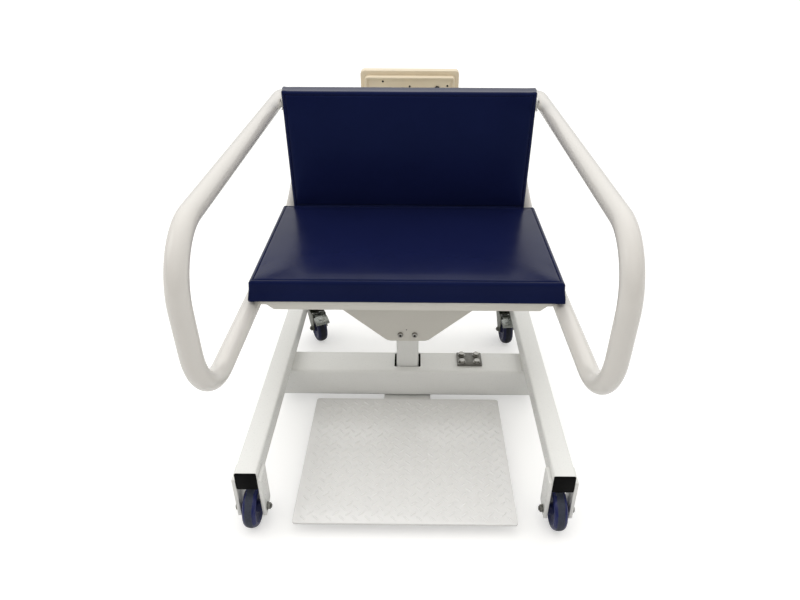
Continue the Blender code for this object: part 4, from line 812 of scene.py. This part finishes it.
# ---------------------------------------------------------------- casters
for side, s in SIDES:
    here = Matrix.Translation((s * CASTER_X, CASTER_Y, 0.0)) @ Matrix.Rotation(CASTER_YAW[side], 4, "Z")
    fixed = Matrix.Translation((s * CASTER_X, CASTER_Y, 0.0))
    # fixed: top plate with four bolt heads under it, upper race
    top = slab("top_plate", [rect(0.076, 0.066, 0.006, 6, 0, -0.005)], 0.0035, fixed @ axes((1, 0, 0), (0, 1, 0), (0, 0, 0.12235)), 0.0006, 2)
    race = lathe("race", [(0.0068, 0.1212), (0.0235, 0.1212), (0.0252, 0.1196), (0.0255, 0.1150), (0.0246, 0.1120), (0.0222, 0.1100), (0.0160, 0.1090),
                          (0.0100, 0.1086), (0.0068, 0.1086)], fixed, 64)
    heads = [hexagon("head", 0.0100, 0.0042, fixed @ at((x, y, 0.1206), (0, 0, -1), 0.4 + x * 9)) for x in (-0.030, 0.030) for y in (-0.030, 0.020)]
    keep(merge("caster_top_" + side, [top, race] + heads), SHADED_ZINC, replaces="caster_plate_" + side, angle=30)

    # swivelling: crown with a dished race, two pressed legs
    crown = slab("crown", [rounded([(-0.0228, -0.038), (0.0228, -0.038), (0.0228, 0.020), (-0.0228, 0.020)], [0.002, 0.002, 0.015, 0.015], 8),
                           ring(0.0061)], 0.0030, axes((1, 0, 0), (0, 1, 0), (0, 0, 0.10600)), 0.0009, 3)
    dish = lathe("dish", [(0.0061, 0.1070), (0.0165, 0.1070), (0.0200, 0.1076), (0.0196, 0.1081), (0.0150, 0.1082), (0.0061, 0.1082)], None, 56)
    leg = rounded([(-0.014, 0.1074), (-0.014, 0.096), (0.030, 0.040), (0.054, 0.040), (0.060, 0.096), (0.054, 0.1074)], [0.002, 0.014, 0.0095, 0.0095, 0.016, 0.002], 8)
    legs = []
    for x in (-0.0216, 0.0216):
        legs.append(slab("leg", [leg, ring(0.0050, TRAIL, WHEEL_R)], 0.0030, axes((0, -1, 0), (0, 0, 1), (x, 0, 0)), 0.0008, 3))
        out = 1.0 if x > 0 else -1.0
        legs.append(sweep("fold", [Vector((x - out * 0.0010, 0.012, 0.1060)), Vector((x - out * 0.0010, -0.038, 0.1060))], 0.0024, 20))
        boss = lathe("boss", [(0.0050, 0), (0.0085, 0), (0.0092, -0.0004), (0.0080, 0.0009), (0.0050, 0.0009)], at((x + out * 0.0015, -TRAIL, WHEEL_R), (out, 0, 0)), 40)
        legs.append(boss)
    pin = lathe("pin", [(0, 0.1040), (0.0060, 0.1040), (0.0060, 0.1190), (0.0052, 0.1195), (0, 0.1195)], None, 40)
    rivet = lathe("rivet", [(0, 0.1012), (0.0060, 0.1018), (0.0085, 0.1032), (0.0090, 0.1046), (0, 0.1046)], None, 40)
    fork = merge("caster_yoke_" + side, [crown, dish, pin, rivet] + legs)
    fork.data.transform(here)
    keep(fork, SHADED_ZINC, "caster_swivel_" + side, "caster_fork_" + side, 30)

    spot_l, spot_r = at((0.0236, -TRAIL, WHEEL_R), (1, 0, 0)), at((-0.0236, -TRAIL, WHEEL_R), (-1, 0, 0))
    shank = sweep("shank", [Vector((-0.0240, -TRAIL, WHEEL_R)), Vector((0.0240, -TRAIL, WHEEL_R))], 0.0045, 28)
    head = hexagon("head", 0.0132, 0.0048, spot_l @ Matrix.Rotation(0.4, 4, "Z"))
    nut = hexagon("nut", 0.0132, 0.0062, spot_r @ Matrix.Rotation(0.1, 4, "Z"), both=True)
    tip = thread("tip", 0.0045, 0.006, 0.0088, spot_r, 0.001)
    axle = merge("caster_bolt_" + side, [shank, head, nut, tip])
    axle.data.transform(here)
    keep(axle, NUT, "caster_swivel_" + side, "caster_axle_" + side, 28)

    wheel("caster_" + side, "caster_core_" + side, "caster_tyre_" + side, "caster_wheel_" + side,
          here @ axes((0, 1, 0), (0, 0, 1), (0, -TRAIL, WHEEL_R)), 0.0192, TYRE_REAR, CORE_REAR)

    # pedal: pressed sheet with a raised centre, rolled hinge and turned-down end
    neck = rounded([(0.0415, 0.1026), (0.0640, 0.1016), (0.0740, 0.0976), (0.0750, 0.1008), (0.0650, 0.1052), (0.0415, 0.1068)],
                   [0.001, 0.006, 0.001, 0.001, 0.008, 0.001], 6)
    sheet = rounded([(0.0660, 0.1008), (0.0874, 0.0922), (0.0902, 0.0868), (0.0932, 0.0876), (0.0908, 0.0948), (0.0660, 0.1048)],
                    [0.001, 0.003, 0.001, 0.001, 0.004, 0.001], 6)
    pedal = slab("pedal_neck", [neck], 0.034, axes((0, -1, 0), (0, 0, 1), (0, 0, 0)), 0.0007, 3)
    boolean(pedal, slab("pedal_wings", [sheet], 0.046, axes((0, -1, 0), (0, 0, 1), (0, 0, 0)), 0.0009, 3), "UNION")
    rib = block("pedal_rib", (-0.010, -0.084, -0.0012), (0.010, -0.068, 0.0012))
    bevel(rib, 0.0009, 3)
    rib.data.transform(Matrix.Translation((0, -0.076, 0.1002)) @ Matrix.Rotation(math.radians(22.0), 4, "X") @ Matrix.Translation((0, 0.076, 0)))
    roll = sweep("roll", [Vector((-0.0196, -0.0445, 0.1046)), Vector((0.0196, -0.0445, 0.1046))], 0.0024, 24)
    stop = merge("stop_pedal_" + side, [pedal, rib, roll])
    stop.data.transform(here)
    keep(stop, ZINC, "brake_" + side, "brake_pedal_" + side, 30)

# ---------------------------------------------------------------- indicator
face_y = RAIL_BACK_Y + 0.030 + GAP
mount = slab("mount_plate", [rect(0.120, 0.060, 0.006, 6, 0, 0.775)], 0.004, axes((1, 0, 0), (0, 0, 1), (0, face_y + 0.002, 0)), 0.0007, 2)
ears = [slab("ear", [rounded([(face_y + 0.002, 0.758), (0.4100, 0.764), (0.4100, 0.782), (face_y + 0.002, 0.788)], [0.0, 0.0075, 0.0075, 0.0], 6),
                     ring(0.0043, 0.402, 0.773)], 0.004, axes((0, 1, 0), (0, 0, 1), (s * 0.0330, 0, 0)), 0.0006, 2) for s in (-1.0, 1.0)]
keep(merge("indicator_mount", [mount] + ears), WHITE, replaces="indicator_bracket", angle=30)
for i, x in enumerate((-0.047, 0.047)):
    for j, z in enumerate((0.774, 0.792)):
        spot = at((x, face_y + 0.004, z), (0, 1, 0))
        dome = lathe("mount_screw_%d_%d" % (i, j), [(0, 0), (0.0046, 0), (0.0046, 0.0005), (0.0040, 0.0017), (0.0026, 0.0025), (0, 0.0028)], spot, 32)
        boolean(dome, lathe("hole", [(0, 0.0010), (0.0016, 0.0010), (0.0016, 0.0040), (0, 0.0040)], spot, 6))
        keep(dome, BOLT, angle=30)
pivot = Vector((0.0, 0.402, 0.773))
shank = sweep("shank", [pivot + Vector((-0.0392, 0, 0)), pivot + Vector((0.0372, 0, 0))], 0.0038, 24)
knob_profile = [(0, 0), (0.0080, 0), (0.0088, 0.0006), (0.0092, 0.0016), (0.0092, 0.0095), (0.0086, 0.0112), (0.0060, 0.0119), (0, 0.0120)]
knob = lathe("knob", knob_profile, at(pivot + Vector((0.0354, 0, 0)), (1, 0, 0)), 64)
for k in range(10):
    q = 2 * math.pi * k / 10
    flute = sweep("flute", [pivot + Vector((0.0375, 0.0101 * math.cos(q), 0.0101 * math.sin(q))), pivot + Vector((0.0490, 0.0101 * math.cos(q), 0.0101 * math.sin(q)))], 0.0018, 12)
    boolean(knob, flute)
nut = hexagon("nut", 0.0125, 0.0050, at(pivot + Vector((-0.0354, 0, 0)), (-1, 0, 0), 0.3), both=True)
keep(merge("tilt_knob_screw", [shank, knob, nut]), BOLT, replaces="indicator_tilt_screw", angle=28)

tilt = Matrix.Translation(pivot) @ Matrix.Rotation(math.radians(4.0), 4, "X")
I_HALF, I_BOX, I_LOW, I_HIGH, I_REAR, I_SPLIT, I_FRONT = 0.1448, 0.1315, -0.079, 0.081, 0.013, 0.036, 0.062
i_h, i_c = I_HIGH - I_LOW, (I_HIGH + I_LOW) / 2
F_LOW, F_HIGH = -0.080, 0.0865
f_h, f_c = F_HIGH - F_LOW, (F_HIGH + F_LOW) / 2


def facing(y):
    return axes((1, 0, 0), (0, 0, 1), (0, y, 0))


def finish_tilted(obj, mat, node, angle=30):
    obj.data.transform(tilt)
    return keep(obj, mat, "indicator", node, angle)


depth = I_SPLIT - GAP / 2 - I_REAR
rear = slab("rear_shell", [rect(2 * I_BOX, i_h - 0.015, 0.009, 10, cy=i_c)], depth, facing(I_REAR + depth / 2), 0.0020, 4)
boolean(rear, slab("inner", [rect(2 * I_BOX - 0.006, i_h - 0.021, 0.006, 6, cy=i_c)], 0.030, facing(I_REAR + 0.0085 + 0.015)))
boolean(rear, slab("recess", [rect(0.2510, i_h - 0.024, 0.004, 6, cy=i_c)], 0.010, facing(I_REAR), 0.0008, 2))
boolean(rear, lathe("gland_hole", [(0, -0.01), (0.0056, -0.01), (0.0056, 0.02), (0, 0.02)], at((0.0805, I_REAR, 0.0400), (0, 1, 0)), 32))
for x, z in ((-0.0785, 0.060), (0.0, 0.046), (0.1105, 0.048), (-0.106, -0.060), (0.106, -0.060)):
    boolean(rear, lathe("screw_hole", [(0, -0.002), (0.0033, -0.002), (0.0033, 0.0075), (0, 0.0075)], at((x, I_REAR, z), (0, 1, 0)), 28))
lug_box = block("lug_box", (-0.0300, -0.0085, -0.0120), (0.0300, I_REAR + 0.0070, 0.0120))
bevel(lug_box, 0.003, 4)
extras = [lug_box]
seam_line = block("seam_line", (-0.0015, I_REAR + 0.0040, 0.0140), (-0.0005, I_REAR + 0.0052, 0.0390))
extras.append(bevel(seam_line, 0.0003, 2))
for x in (-0.118, 0.118):
    guard = block("guard", (x - 0.0012, I_REAR + 0.0030, -0.060), (x + 0.0012, I_REAR + 0.0052, 0.060))
    extras.append(bevel(guard, 0.0005, 2))
finish_tilted(merge("indicator_back_shell", [rear] + extras), BEIGE, "indicator_rear_case", 30)
# near-black discs at the bottom of the screw holes, where the screw heads sit: painted shade in the holes
for k, (x, z) in enumerate(((-0.0785, 0.060), (0.0, 0.046), (0.1105, 0.048), (-0.106, -0.060), (0.106, -0.060))):
    disc = lathe("sunk_screw_%d" % k, [(0, 0.0062), (0.0028, 0.0062), (0.0028, 0.0074), (0, 0.0074)], at((x, I_REAR, z), (0, 1, 0)), 24)
    finish_tilted(disc, PAINTED_SHADE, ())

depth = I_FRONT - I_SPLIT - GAP / 2
front = slab("front_shell", [rect(2 * I_HALF, f_h, 0.012, 10, cy=f_c)], depth, facing(I_FRONT - depth / 2), 0.0026, 4)
hollow = I_FRONT - 0.0065 - (I_SPLIT + 0.0030)
boolean(front, slab("inner", [rect(2 * I_HALF - 0.006, f_h - 0.006, 0.009, 6, cy=f_c)], hollow, facing(I_SPLIT + 0.0030 + hollow / 2)))
boolean(front, slab("mouth", [rect(2 * I_BOX - 0.008, i_h - 0.023, 0.006, 6, cy=i_c)], 0.010, facing(I_SPLIT)))
boolean(front, slab("window_cut", [rect(0.1506, 0.0526, 0.003, 6, cy=0.030)], 0.006, facing(I_FRONT)))
for x in (0.050, 0.0, -0.050):
    boolean(front, slab("key_cut", [rect(0.0310, 0.0190, 0.004, 6, cx=x, cy=-0.035)], 0.010, facing(I_FRONT)))
finish_tilted(front, BEIGE, "indicator_front_case", 30)
pane = slab("pane", [rect(0.1500, 0.0520, 0.003, 6, cy=0.030)], 0.0022, facing(I_FRONT - 0.0015), 0.0003, 2)
finish_tilted(pane, LENS, "indicator_display", 30)
panel_lcd = slab("liquid_crystal", [rect(0.1180, 0.0340, 0.001, 4, cy=0.030)], 0.0003, facing(I_FRONT - 0.0003))
finish_tilted(panel_lcd, LCD, (), 30)
for k, x in enumerate((0.050, 0.0, -0.050)):
    key = slab("key_cap_%d" % (k + 1), [rect(0.0300, 0.0180, 0.0035, 6, cx=x, cy=-0.035)], 0.0040, facing(I_FRONT - 0.0005), 0.0009, 3)
    key.data.transform(tilt)
    keep(key, KEYS, "key_%d" % (k + 1), "indicator_key_%d" % (k + 1), 30)
spot = at((0.0805, I_REAR + 0.0047, 0.0400), (0, -1, 0))
nut = hexagon("nut", 0.0150, 0.0035, spot, 0.2)
dome = lathe("dome", [(0.0032, 0.003), (0.0068, 0.003), (0.0070, 0.0062), (0.0062, 0.0078), (0.0048, 0.0086), (0.0034, 0.0086), (0.0032, 0.0080)], spot, 40)
neck = lathe("neck", [(0.0030, -0.0080), (0.0054, -0.0080), (0.0054, 0.0010), (0.0030, 0.0010)], spot, 32)
grommet = lathe("grommet", [(0, 0.0060), (0.0034, 0.0060), (0.0034, 0.0076), (0.0020, 0.0082), (0, 0.0083)], spot, 32)
finish_tilted(merge("lead_gland", [nut, dome, neck, grommet]), BLACK, "cable_gland", 30)

# ---------------------------------------------------------------- the two nodes that stay as they are
for name, mat in (("load_cell", ALLOY), ("load_cell_spacer", ALLOY)):
    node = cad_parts[name]
    node = node if hasattr(node, "material_slots") else bpy.data.objects[name]
    for entry in node.material_slots:
        entry.material = mat


# ---------------------------------------------------------------- upholstery
def lines(half, edge, coarse, marks=()):
    """Grid lines from -half to half: fine through the rounded edge and near marks, coarser inside."""
    out = {0.0}
    x = 0.0
    while x < half - edge:
        out.add(round(x, 5))
        out.add(round(-x, 5))
        x += coarse
    for k in range(0, 9):
        v = half - edge * (k / 8.0)
        out.add(round(v, 5))
        out.add(round(-v, 5))
    for m in marks:
        for d in (-0.0060, -0.0042, -0.0030, -0.0020, -0.0012, -0.0005, 0.0, 0.0005, 0.0012, 0.0020, 0.0030, 0.0042, 0.0060):
            v = half - m + d
            if v < half - edge * 0.9:
                out.add(round(v, 5))
                out.add(round(-v, 5))
    result = []
    for v in sorted(out):
        if not result or v - result[-1] > 0.00035:
            result.append(v)
    return result


def shell(hx, hy, hz, radius, xs, ys, zs, board=None):
    """Box with rounded edges from grid lines on its six faces; they are sharper on the board's side."""
    bm = bmesh.new()

    def project(p):
        r = radius
        if board is not None:
            t = 0.5 + 0.5 * p[board[0]] * board[1] / (hx, hy, hz)[board[0]]
            r = radius * (1.0 - 0.5 * t * t * (3.0 - 2.0 * t))
        q = Vector([max(-(h - r), min(h - r, c)) for c, h in zip(p, (hx, hy, hz))])
        d = p - q
        return q + d.normalized() * r if d.length > 1e-9 else p

    def grid(first, second, make):
        table = [[bm.verts.new(project(make(a, b))) for b in second] for a in first]
        for i in range(len(first) - 1):
            for j in range(len(second) - 1):
                bm.faces.new((table[i][j], table[i + 1][j], table[i + 1][j + 1], table[i][j + 1]))

    for f in (-1.0, 1.0):
        grid(xs, ys, lambda a, b: Vector((a, b, f * hz)))
        grid(xs, zs, lambda a, b: Vector((a, f * hy, b)))
        grid(ys, zs, lambda a, b: Vector((f * hx, a, b)))
    bmesh.ops.remove_doubles(bm, verts=bm.verts, dist=0.00002)
    bmesh.ops.recalc_face_normals(bm, faces=bm.faces)
    return bm


def steps_between(half, step):
    n = max(2, round(2 * half / step))
    return [-half + 2 * half * k / n for k in range(n + 1)]


def inflate(name, hx, hy, hz, radius, flat, cap):
    """Cloth under inner pressure on a coarse copy; gives rest points and how far each one moves."""
    bm = shell(hx, hy, hz, radius, steps_between(hx, 0.011), steps_between(hy, 0.011), steps_between(hz, 0.0085))
    obj = put(name + "_sim", bm)
    rest = [v.co.copy() for v in obj.data.vertices]
    group = obj.vertex_groups.new(name="board")
    axis, sign = flat
    for v in obj.data.vertices:
        depth_in = (v.co[axis] * sign)
        half = (hx, hy, hz)[axis]
        if depth_in > half - 0.004:
            group.add([v.index], 1.0, "REPLACE")
        elif depth_in > half - 0.014:
            group.add([v.index], 0.35, "REPLACE")
    cloth = obj.modifiers.new("cloth", "CLOTH")
    cfg = cloth.settings
    cfg.quality = 7
    cfg.mass = 0.25
    cfg.tension_stiffness = 18.0
    cfg.compression_stiffness = 14.0
    cfg.shear_stiffness = 6.0
    cfg.bending_stiffness = 1.6
    cfg.use_pressure = True
    cfg.uniform_pressure_force = 4.0
    cfg.vertex_group_mass = "board"
    cfg.effector_weights.gravity = 0.0
    cloth.collision_settings.use_collision = False
    cloth.collision_settings.use_self_collision = False
    SCENE.frame_start, SCENE.frame_end = 1, 20
    cloth.point_cache.frame_start, cloth.point_cache.frame_end = 1, 20
    for f in range(1, 21):
        SCENE.frame_set(f)
    mesh = bpy.data.meshes.new_from_object(obj.evaluated_get(bpy.context.evaluated_depsgraph_get()))
    moved = []
    for a, v in zip(rest, mesh.vertices):
        d = v.co - a
        moved.append(d * (cap / d.length) if d.length > cap else d)
    bpy.data.objects.remove(obj, do_unlink=True)
    SCENE.frame_set(1)
    return rest, moved


def pad(name, node, centre, half, radius, up_axis, up_sign, taper=None, seam=0.0105, crown=0.0030):
    """Upholstered pad: simulated cover, a sewn line round its face, pleats at the rear corners.

    The face looks along up_axis times up_sign; the board is on the other side.
    """
    marks = {0: (seam,), 1: (seam,), 2: (seam,)}
    marks[up_axis] = ()
    xs = lines(half[0], radius, 0.0085, marks[0])
    ys = lines(half[1], radius, 0.0085, marks[1])
    zs = lines(half[2], radius, 0.0085, marks[2])
    rest, moved = inflate(name, half[0], half[1], half[2], radius, (up_axis, -up_sign), 0.0060)
    tree = kdtree.KDTree(len(rest))
    for i, p in enumerate(rest):
        tree.insert(p, i)
    tree.balance()
    bm = shell(half[0], half[1], half[2], radius, xs, ys, zs, (up_axis, -up_sign))
    bm.normal_update()
    across = [a for a in (0, 1, 2) if a != up_axis]
    for v in bm.verts:
        v_rest = v.co.copy()
        normal = v.normal.copy()
        total, weight = Vector((0, 0, 0)), 0.0
        for _, index, distance in tree.find_n(v_rest, 5):
            w_here = 1.0 / (distance * distance + 0.000004)
            total += moved[index] * w_here
            weight += w_here
        v.co += total / weight * 0.35
        lift = v_rest[up_axis] * up_sign
        inset = min(half[a] - abs(v_rest[a]) for a in across)
        if lift > half[up_axis] - 0.0015:
            groove = math.exp(-((inset - seam) / 0.0011) ** 2)
            puff = math.exp(-((inset - seam - 0.0052) / 0.0032) ** 2) + 0.8 * math.exp(-((inset - seam + 0.0046) / 0.0026) ** 2)
            # the sewn line gathers the cover a little, unevenly along its length
            along = v_rest[across[0]] if half[across[1]] - abs(v_rest[across[1]]) < half[across[0]] - abs(v_rest[across[0]]) else v_rest[across[1]]
            gather = noise.noise(Vector((along * 95.0, inset * 60.0, 3.0 + up_axis)))
            v.co[up_axis] += up_sign * (-0.00150 * groove + 0.00045 * puff * (1.0 + 0.6 * gather) + 0.00018 * gather * math.exp(-inset / 0.012))
            middle = 1.0
            for a in across:
                middle *= max(0.0, 1.0 - (v_rest[a] / half[a]) ** 4)
            v.co[up_axis] += up_sign * crown * middle
        # pleats where the cover is folded round the corners on to the board
        near = math.exp(-(((half[across[0]] - abs(v_rest[across[0]])) / 0.020) ** 2 + ((half[across[1]] - abs(v_rest[across[1]])) / 0.020) ** 2))
        low = max(0.0, min(1.0, (-lift + half[up_axis] * 0.35) / half[up_axis]))
        if near * low > 0.01:
            q = math.atan2(half[across[1]] - abs(v_rest[across[1]]), half[across[0]] - abs(v_rest[across[0]]) + 0.0001)
            v.co += normal * (0.0010 * near * low * math.sin(q * 14.0 + 2.0 * v_rest[across[0]]))
        # slow waviness of the foam
        v.co += normal * 0.00045 * noise.noise(v_rest * 9.0 + Vector((5.0, 2.0, 8.0 + up_axis)))
    if taper is not None:
        for v in bm.verts:
            t = (v.co.z + half[2]) / (2 * half[2])
            v.co.x *= taper[0] + (taper[1] - taper[0]) * t
    obj = put(name, bm, Matrix.Translation(centre))
    keep(obj, VINYL, "base", node, None)

    # stitches along the sewn line
    tree = kdtree.KDTree(len(obj.data.vertices))
    for v in obj.data.vertices:
        tree.insert(v.co, v.index)
    tree.balance()
    bm = bmesh.new()
    corners = []
    for sx, sy in ((-1, -1), (1, -1), (1, 1), (-1, 1)):
        p = Vector((0, 0, 0))
        p[across[0]] = sx * (half[across[0]] - seam)
        p[across[1]] = sy * (half[across[1]] - seam)
        p[up_axis] = up_sign * half[up_axis]
        corners.append(p)
    for a, b in zip(corners, corners[1:] + corners[:1]):
        count = int((b - a).length / 0.0042)
        for k in range(count):
            p = a.lerp(b, (k + 0.5) / count)
            if taper is not None:
                t = (p.z + half[2]) / (2 * half[2])
                p.x *= taper[0] + (taper[1] - taper[0]) * t
            world = p + Vector(centre)
            found = tree.find(world)[0]
            world[up_axis] = found[up_axis] + up_sign * 0.00025
            run = (b - a).normalized()
            out = Vector((0, 0, 0))
            out[up_axis] = up_sign
            side_dir = run.cross(out)
            ring_points = []
            for u, r in ((-1.0, 0.00012), (-0.6, 0.00032), (0.6, 0.00032), (1.0, 0.00012)):
                c = world + run * (u * 0.00145) - out * (0.00028 * u * u)
                ring_points.append([bm.verts.new(c + (side_dir * math.cos(q * math.pi / 3) + out * math.sin(q * math.pi / 3)) * r) for q in range(6)])
            for one, two in zip(ring_points, ring_points[1:]):
                for q in range(6):
                    bm.faces.new((one[q], one[(q + 1) % 6], two[(q + 1) % 6], two[q]))
            bm.faces.new(list(reversed(ring_points[0])))
            bm.faces.new(ring_points[-1])
    stitches = put(name + "_stitches", bm)
    keep(stitches, THREAD, "base", angle=None)
    return obj


pad("seat_cushion", "seat_pad", (0.0, 0.0307, 0.4843), (0.3778, 0.2262, 0.0275), 0.0065, 2, 1.0, taper=(1.0, 0.9900))
pad("back_cushion", "back_pad", (0.0, 0.2830, 0.6715), (0.3490, 0.0240, 0.1720), 0.0065, 1, -1.0, taper=(0.9895, 1.0))

# ---------------------------------------------------------------- floor, light
bm = bmesh.new()
for a, b in zip(((-40, -40), (40, -40), (40, 40), (-40, 40)), range(4)):
    bm.verts.new((a[0], a[1], 0.0))
bm.faces.new(bm.verts)
floor = put("floor", bm)
FLOOR = shader("pale_floor", (0.740, 0.740, 0.736), 0.85, tint=0.004, tint_scale=2.0, specular=0.0, rough_vary=0.02)
# the paper is exposed to white, but throws back no more light on the chair than matt paper does
FLOOR.node_tree.nodes["Principled BSDF"].inputs["Emission Color"].default_value = (1.0, 1.0, 0.995, 1.0)
glow = FLOOR.node_tree.nodes.new("ShaderNodeMath")
glow.operation = "MULTIPLY"
glow.inputs[1].default_value = 0.38
FLOOR.node_tree.links.new(FLOOR.node_tree.nodes.new("ShaderNodeLightPath").outputs["Is Camera Ray"], glow.inputs[0])
FLOOR.node_tree.links.new(glow.outputs["Value"], FLOOR.node_tree.nodes["Principled BSDF"].inputs["Emission Strength"])
floor.data.materials.append(FLOOR)

# soft room light: brighter overhead and behind the chair, dimmer and warmer in front of it
world = bpy.data.worlds.new("studio")
SCENE.world = world
world.use_nodes = True
wn, wl = world.node_tree.nodes, world.node_tree.links
where = wn.new("ShaderNodeSeparateXYZ")
wl.new(wn.new("ShaderNodeTexCoord").outputs["Generated"], where.inputs[0])
back = wn.new("ShaderNodeMapRange")
back.interpolation_type = "SMOOTHSTEP"
back.inputs["From Min"].default_value, back.inputs["From Max"].default_value = -0.45, 0.45
back.inputs["To Min"].default_value, back.inputs["To Max"].default_value = 0.11, 0.55
wl.new(where.outputs["Y"], back.inputs["Value"])
lift = wn.new("ShaderNodeMapRange")
lift.inputs["From Min"].default_value, lift.inputs["From Max"].default_value = 0.0, 1.0
lift.inputs["To Min"].default_value, lift.inputs["To Max"].default_value = 0.0, 1.18
wl.new(where.outputs["Z"], lift.inputs["Value"])
total = wn.new("ShaderNodeMath")
total.operation = "ADD"
wl.new(back.outputs["Result"], total.inputs[0])
wl.new(lift.outputs["Result"], total.inputs[1])
wl.new(total.outputs["Value"], wn["Background"].inputs["Strength"])
warm = wn.new("ShaderNodeValToRGB")
warm.color_ramp.elements[0].position, warm.color_ramp.elements[1].position = 0.15, 0.70
warm.color_ramp.elements[0].color = (1.0, 0.970, 0.930, 1.0)
warm.color_ramp.elements[1].color = (1.0, 0.998, 0.985, 1.0)
spread = wn.new("ShaderNodeMapRange")
spread.inputs["From Min"].default_value, spread.inputs["From Max"].default_value = -1.0, 1.0
wl.new(where.outputs["Y"], spread.inputs["Value"])
wl.new(spread.outputs["Result"], warm.inputs["Fac"])
wl.new(warm.outputs["Color"], wn["Background"].inputs["Color"])


def softbox(name, place, target, size, radiance, colour=(1, 1, 1)):
    data = bpy.data.lights.new(name, "AREA")
    data.shape = "RECTANGLE"
    data.size, data.size_y = size
    data.energy = radiance * math.pi * size[0] * size[1]
    data.color = colour
    obj = bpy.data.objects.new(name, data)
    SCENE.collection.objects.link(obj)
    obj.location = place
    obj.rotation_euler = (Vector(target) - Vector(place)).to_track_quat("-Z", "Y").to_euler()
    return obj


softbox("overhead", (-0.3, 0.1, 3.4), (0, 0, 0.2), (3.2, 2.6), 0.12, (1.0, 0.985, 0.955))
# long ceiling panels that run from front to back
for k, (x, wide) in enumerate(((-1.02, 0.62), (0.03, 0.78), (1.02, 0.50))):
    softbox("panel_%d" % k, (x, -3.0, 3.1), (x, -3.0, 0.0), (wide, 4.2), 0.18, (1.0, 0.99, 0.97))
softbox("left_high", (-2.6, -0.6, 2.4), (0, 0, 0.3), (1.6, 1.6), 0.90, (1.0, 1.0, 0.98))

SCENE.view_settings.view_transform = "Standard"
SCENE.view_settings.look = "None"

LAYER.update()
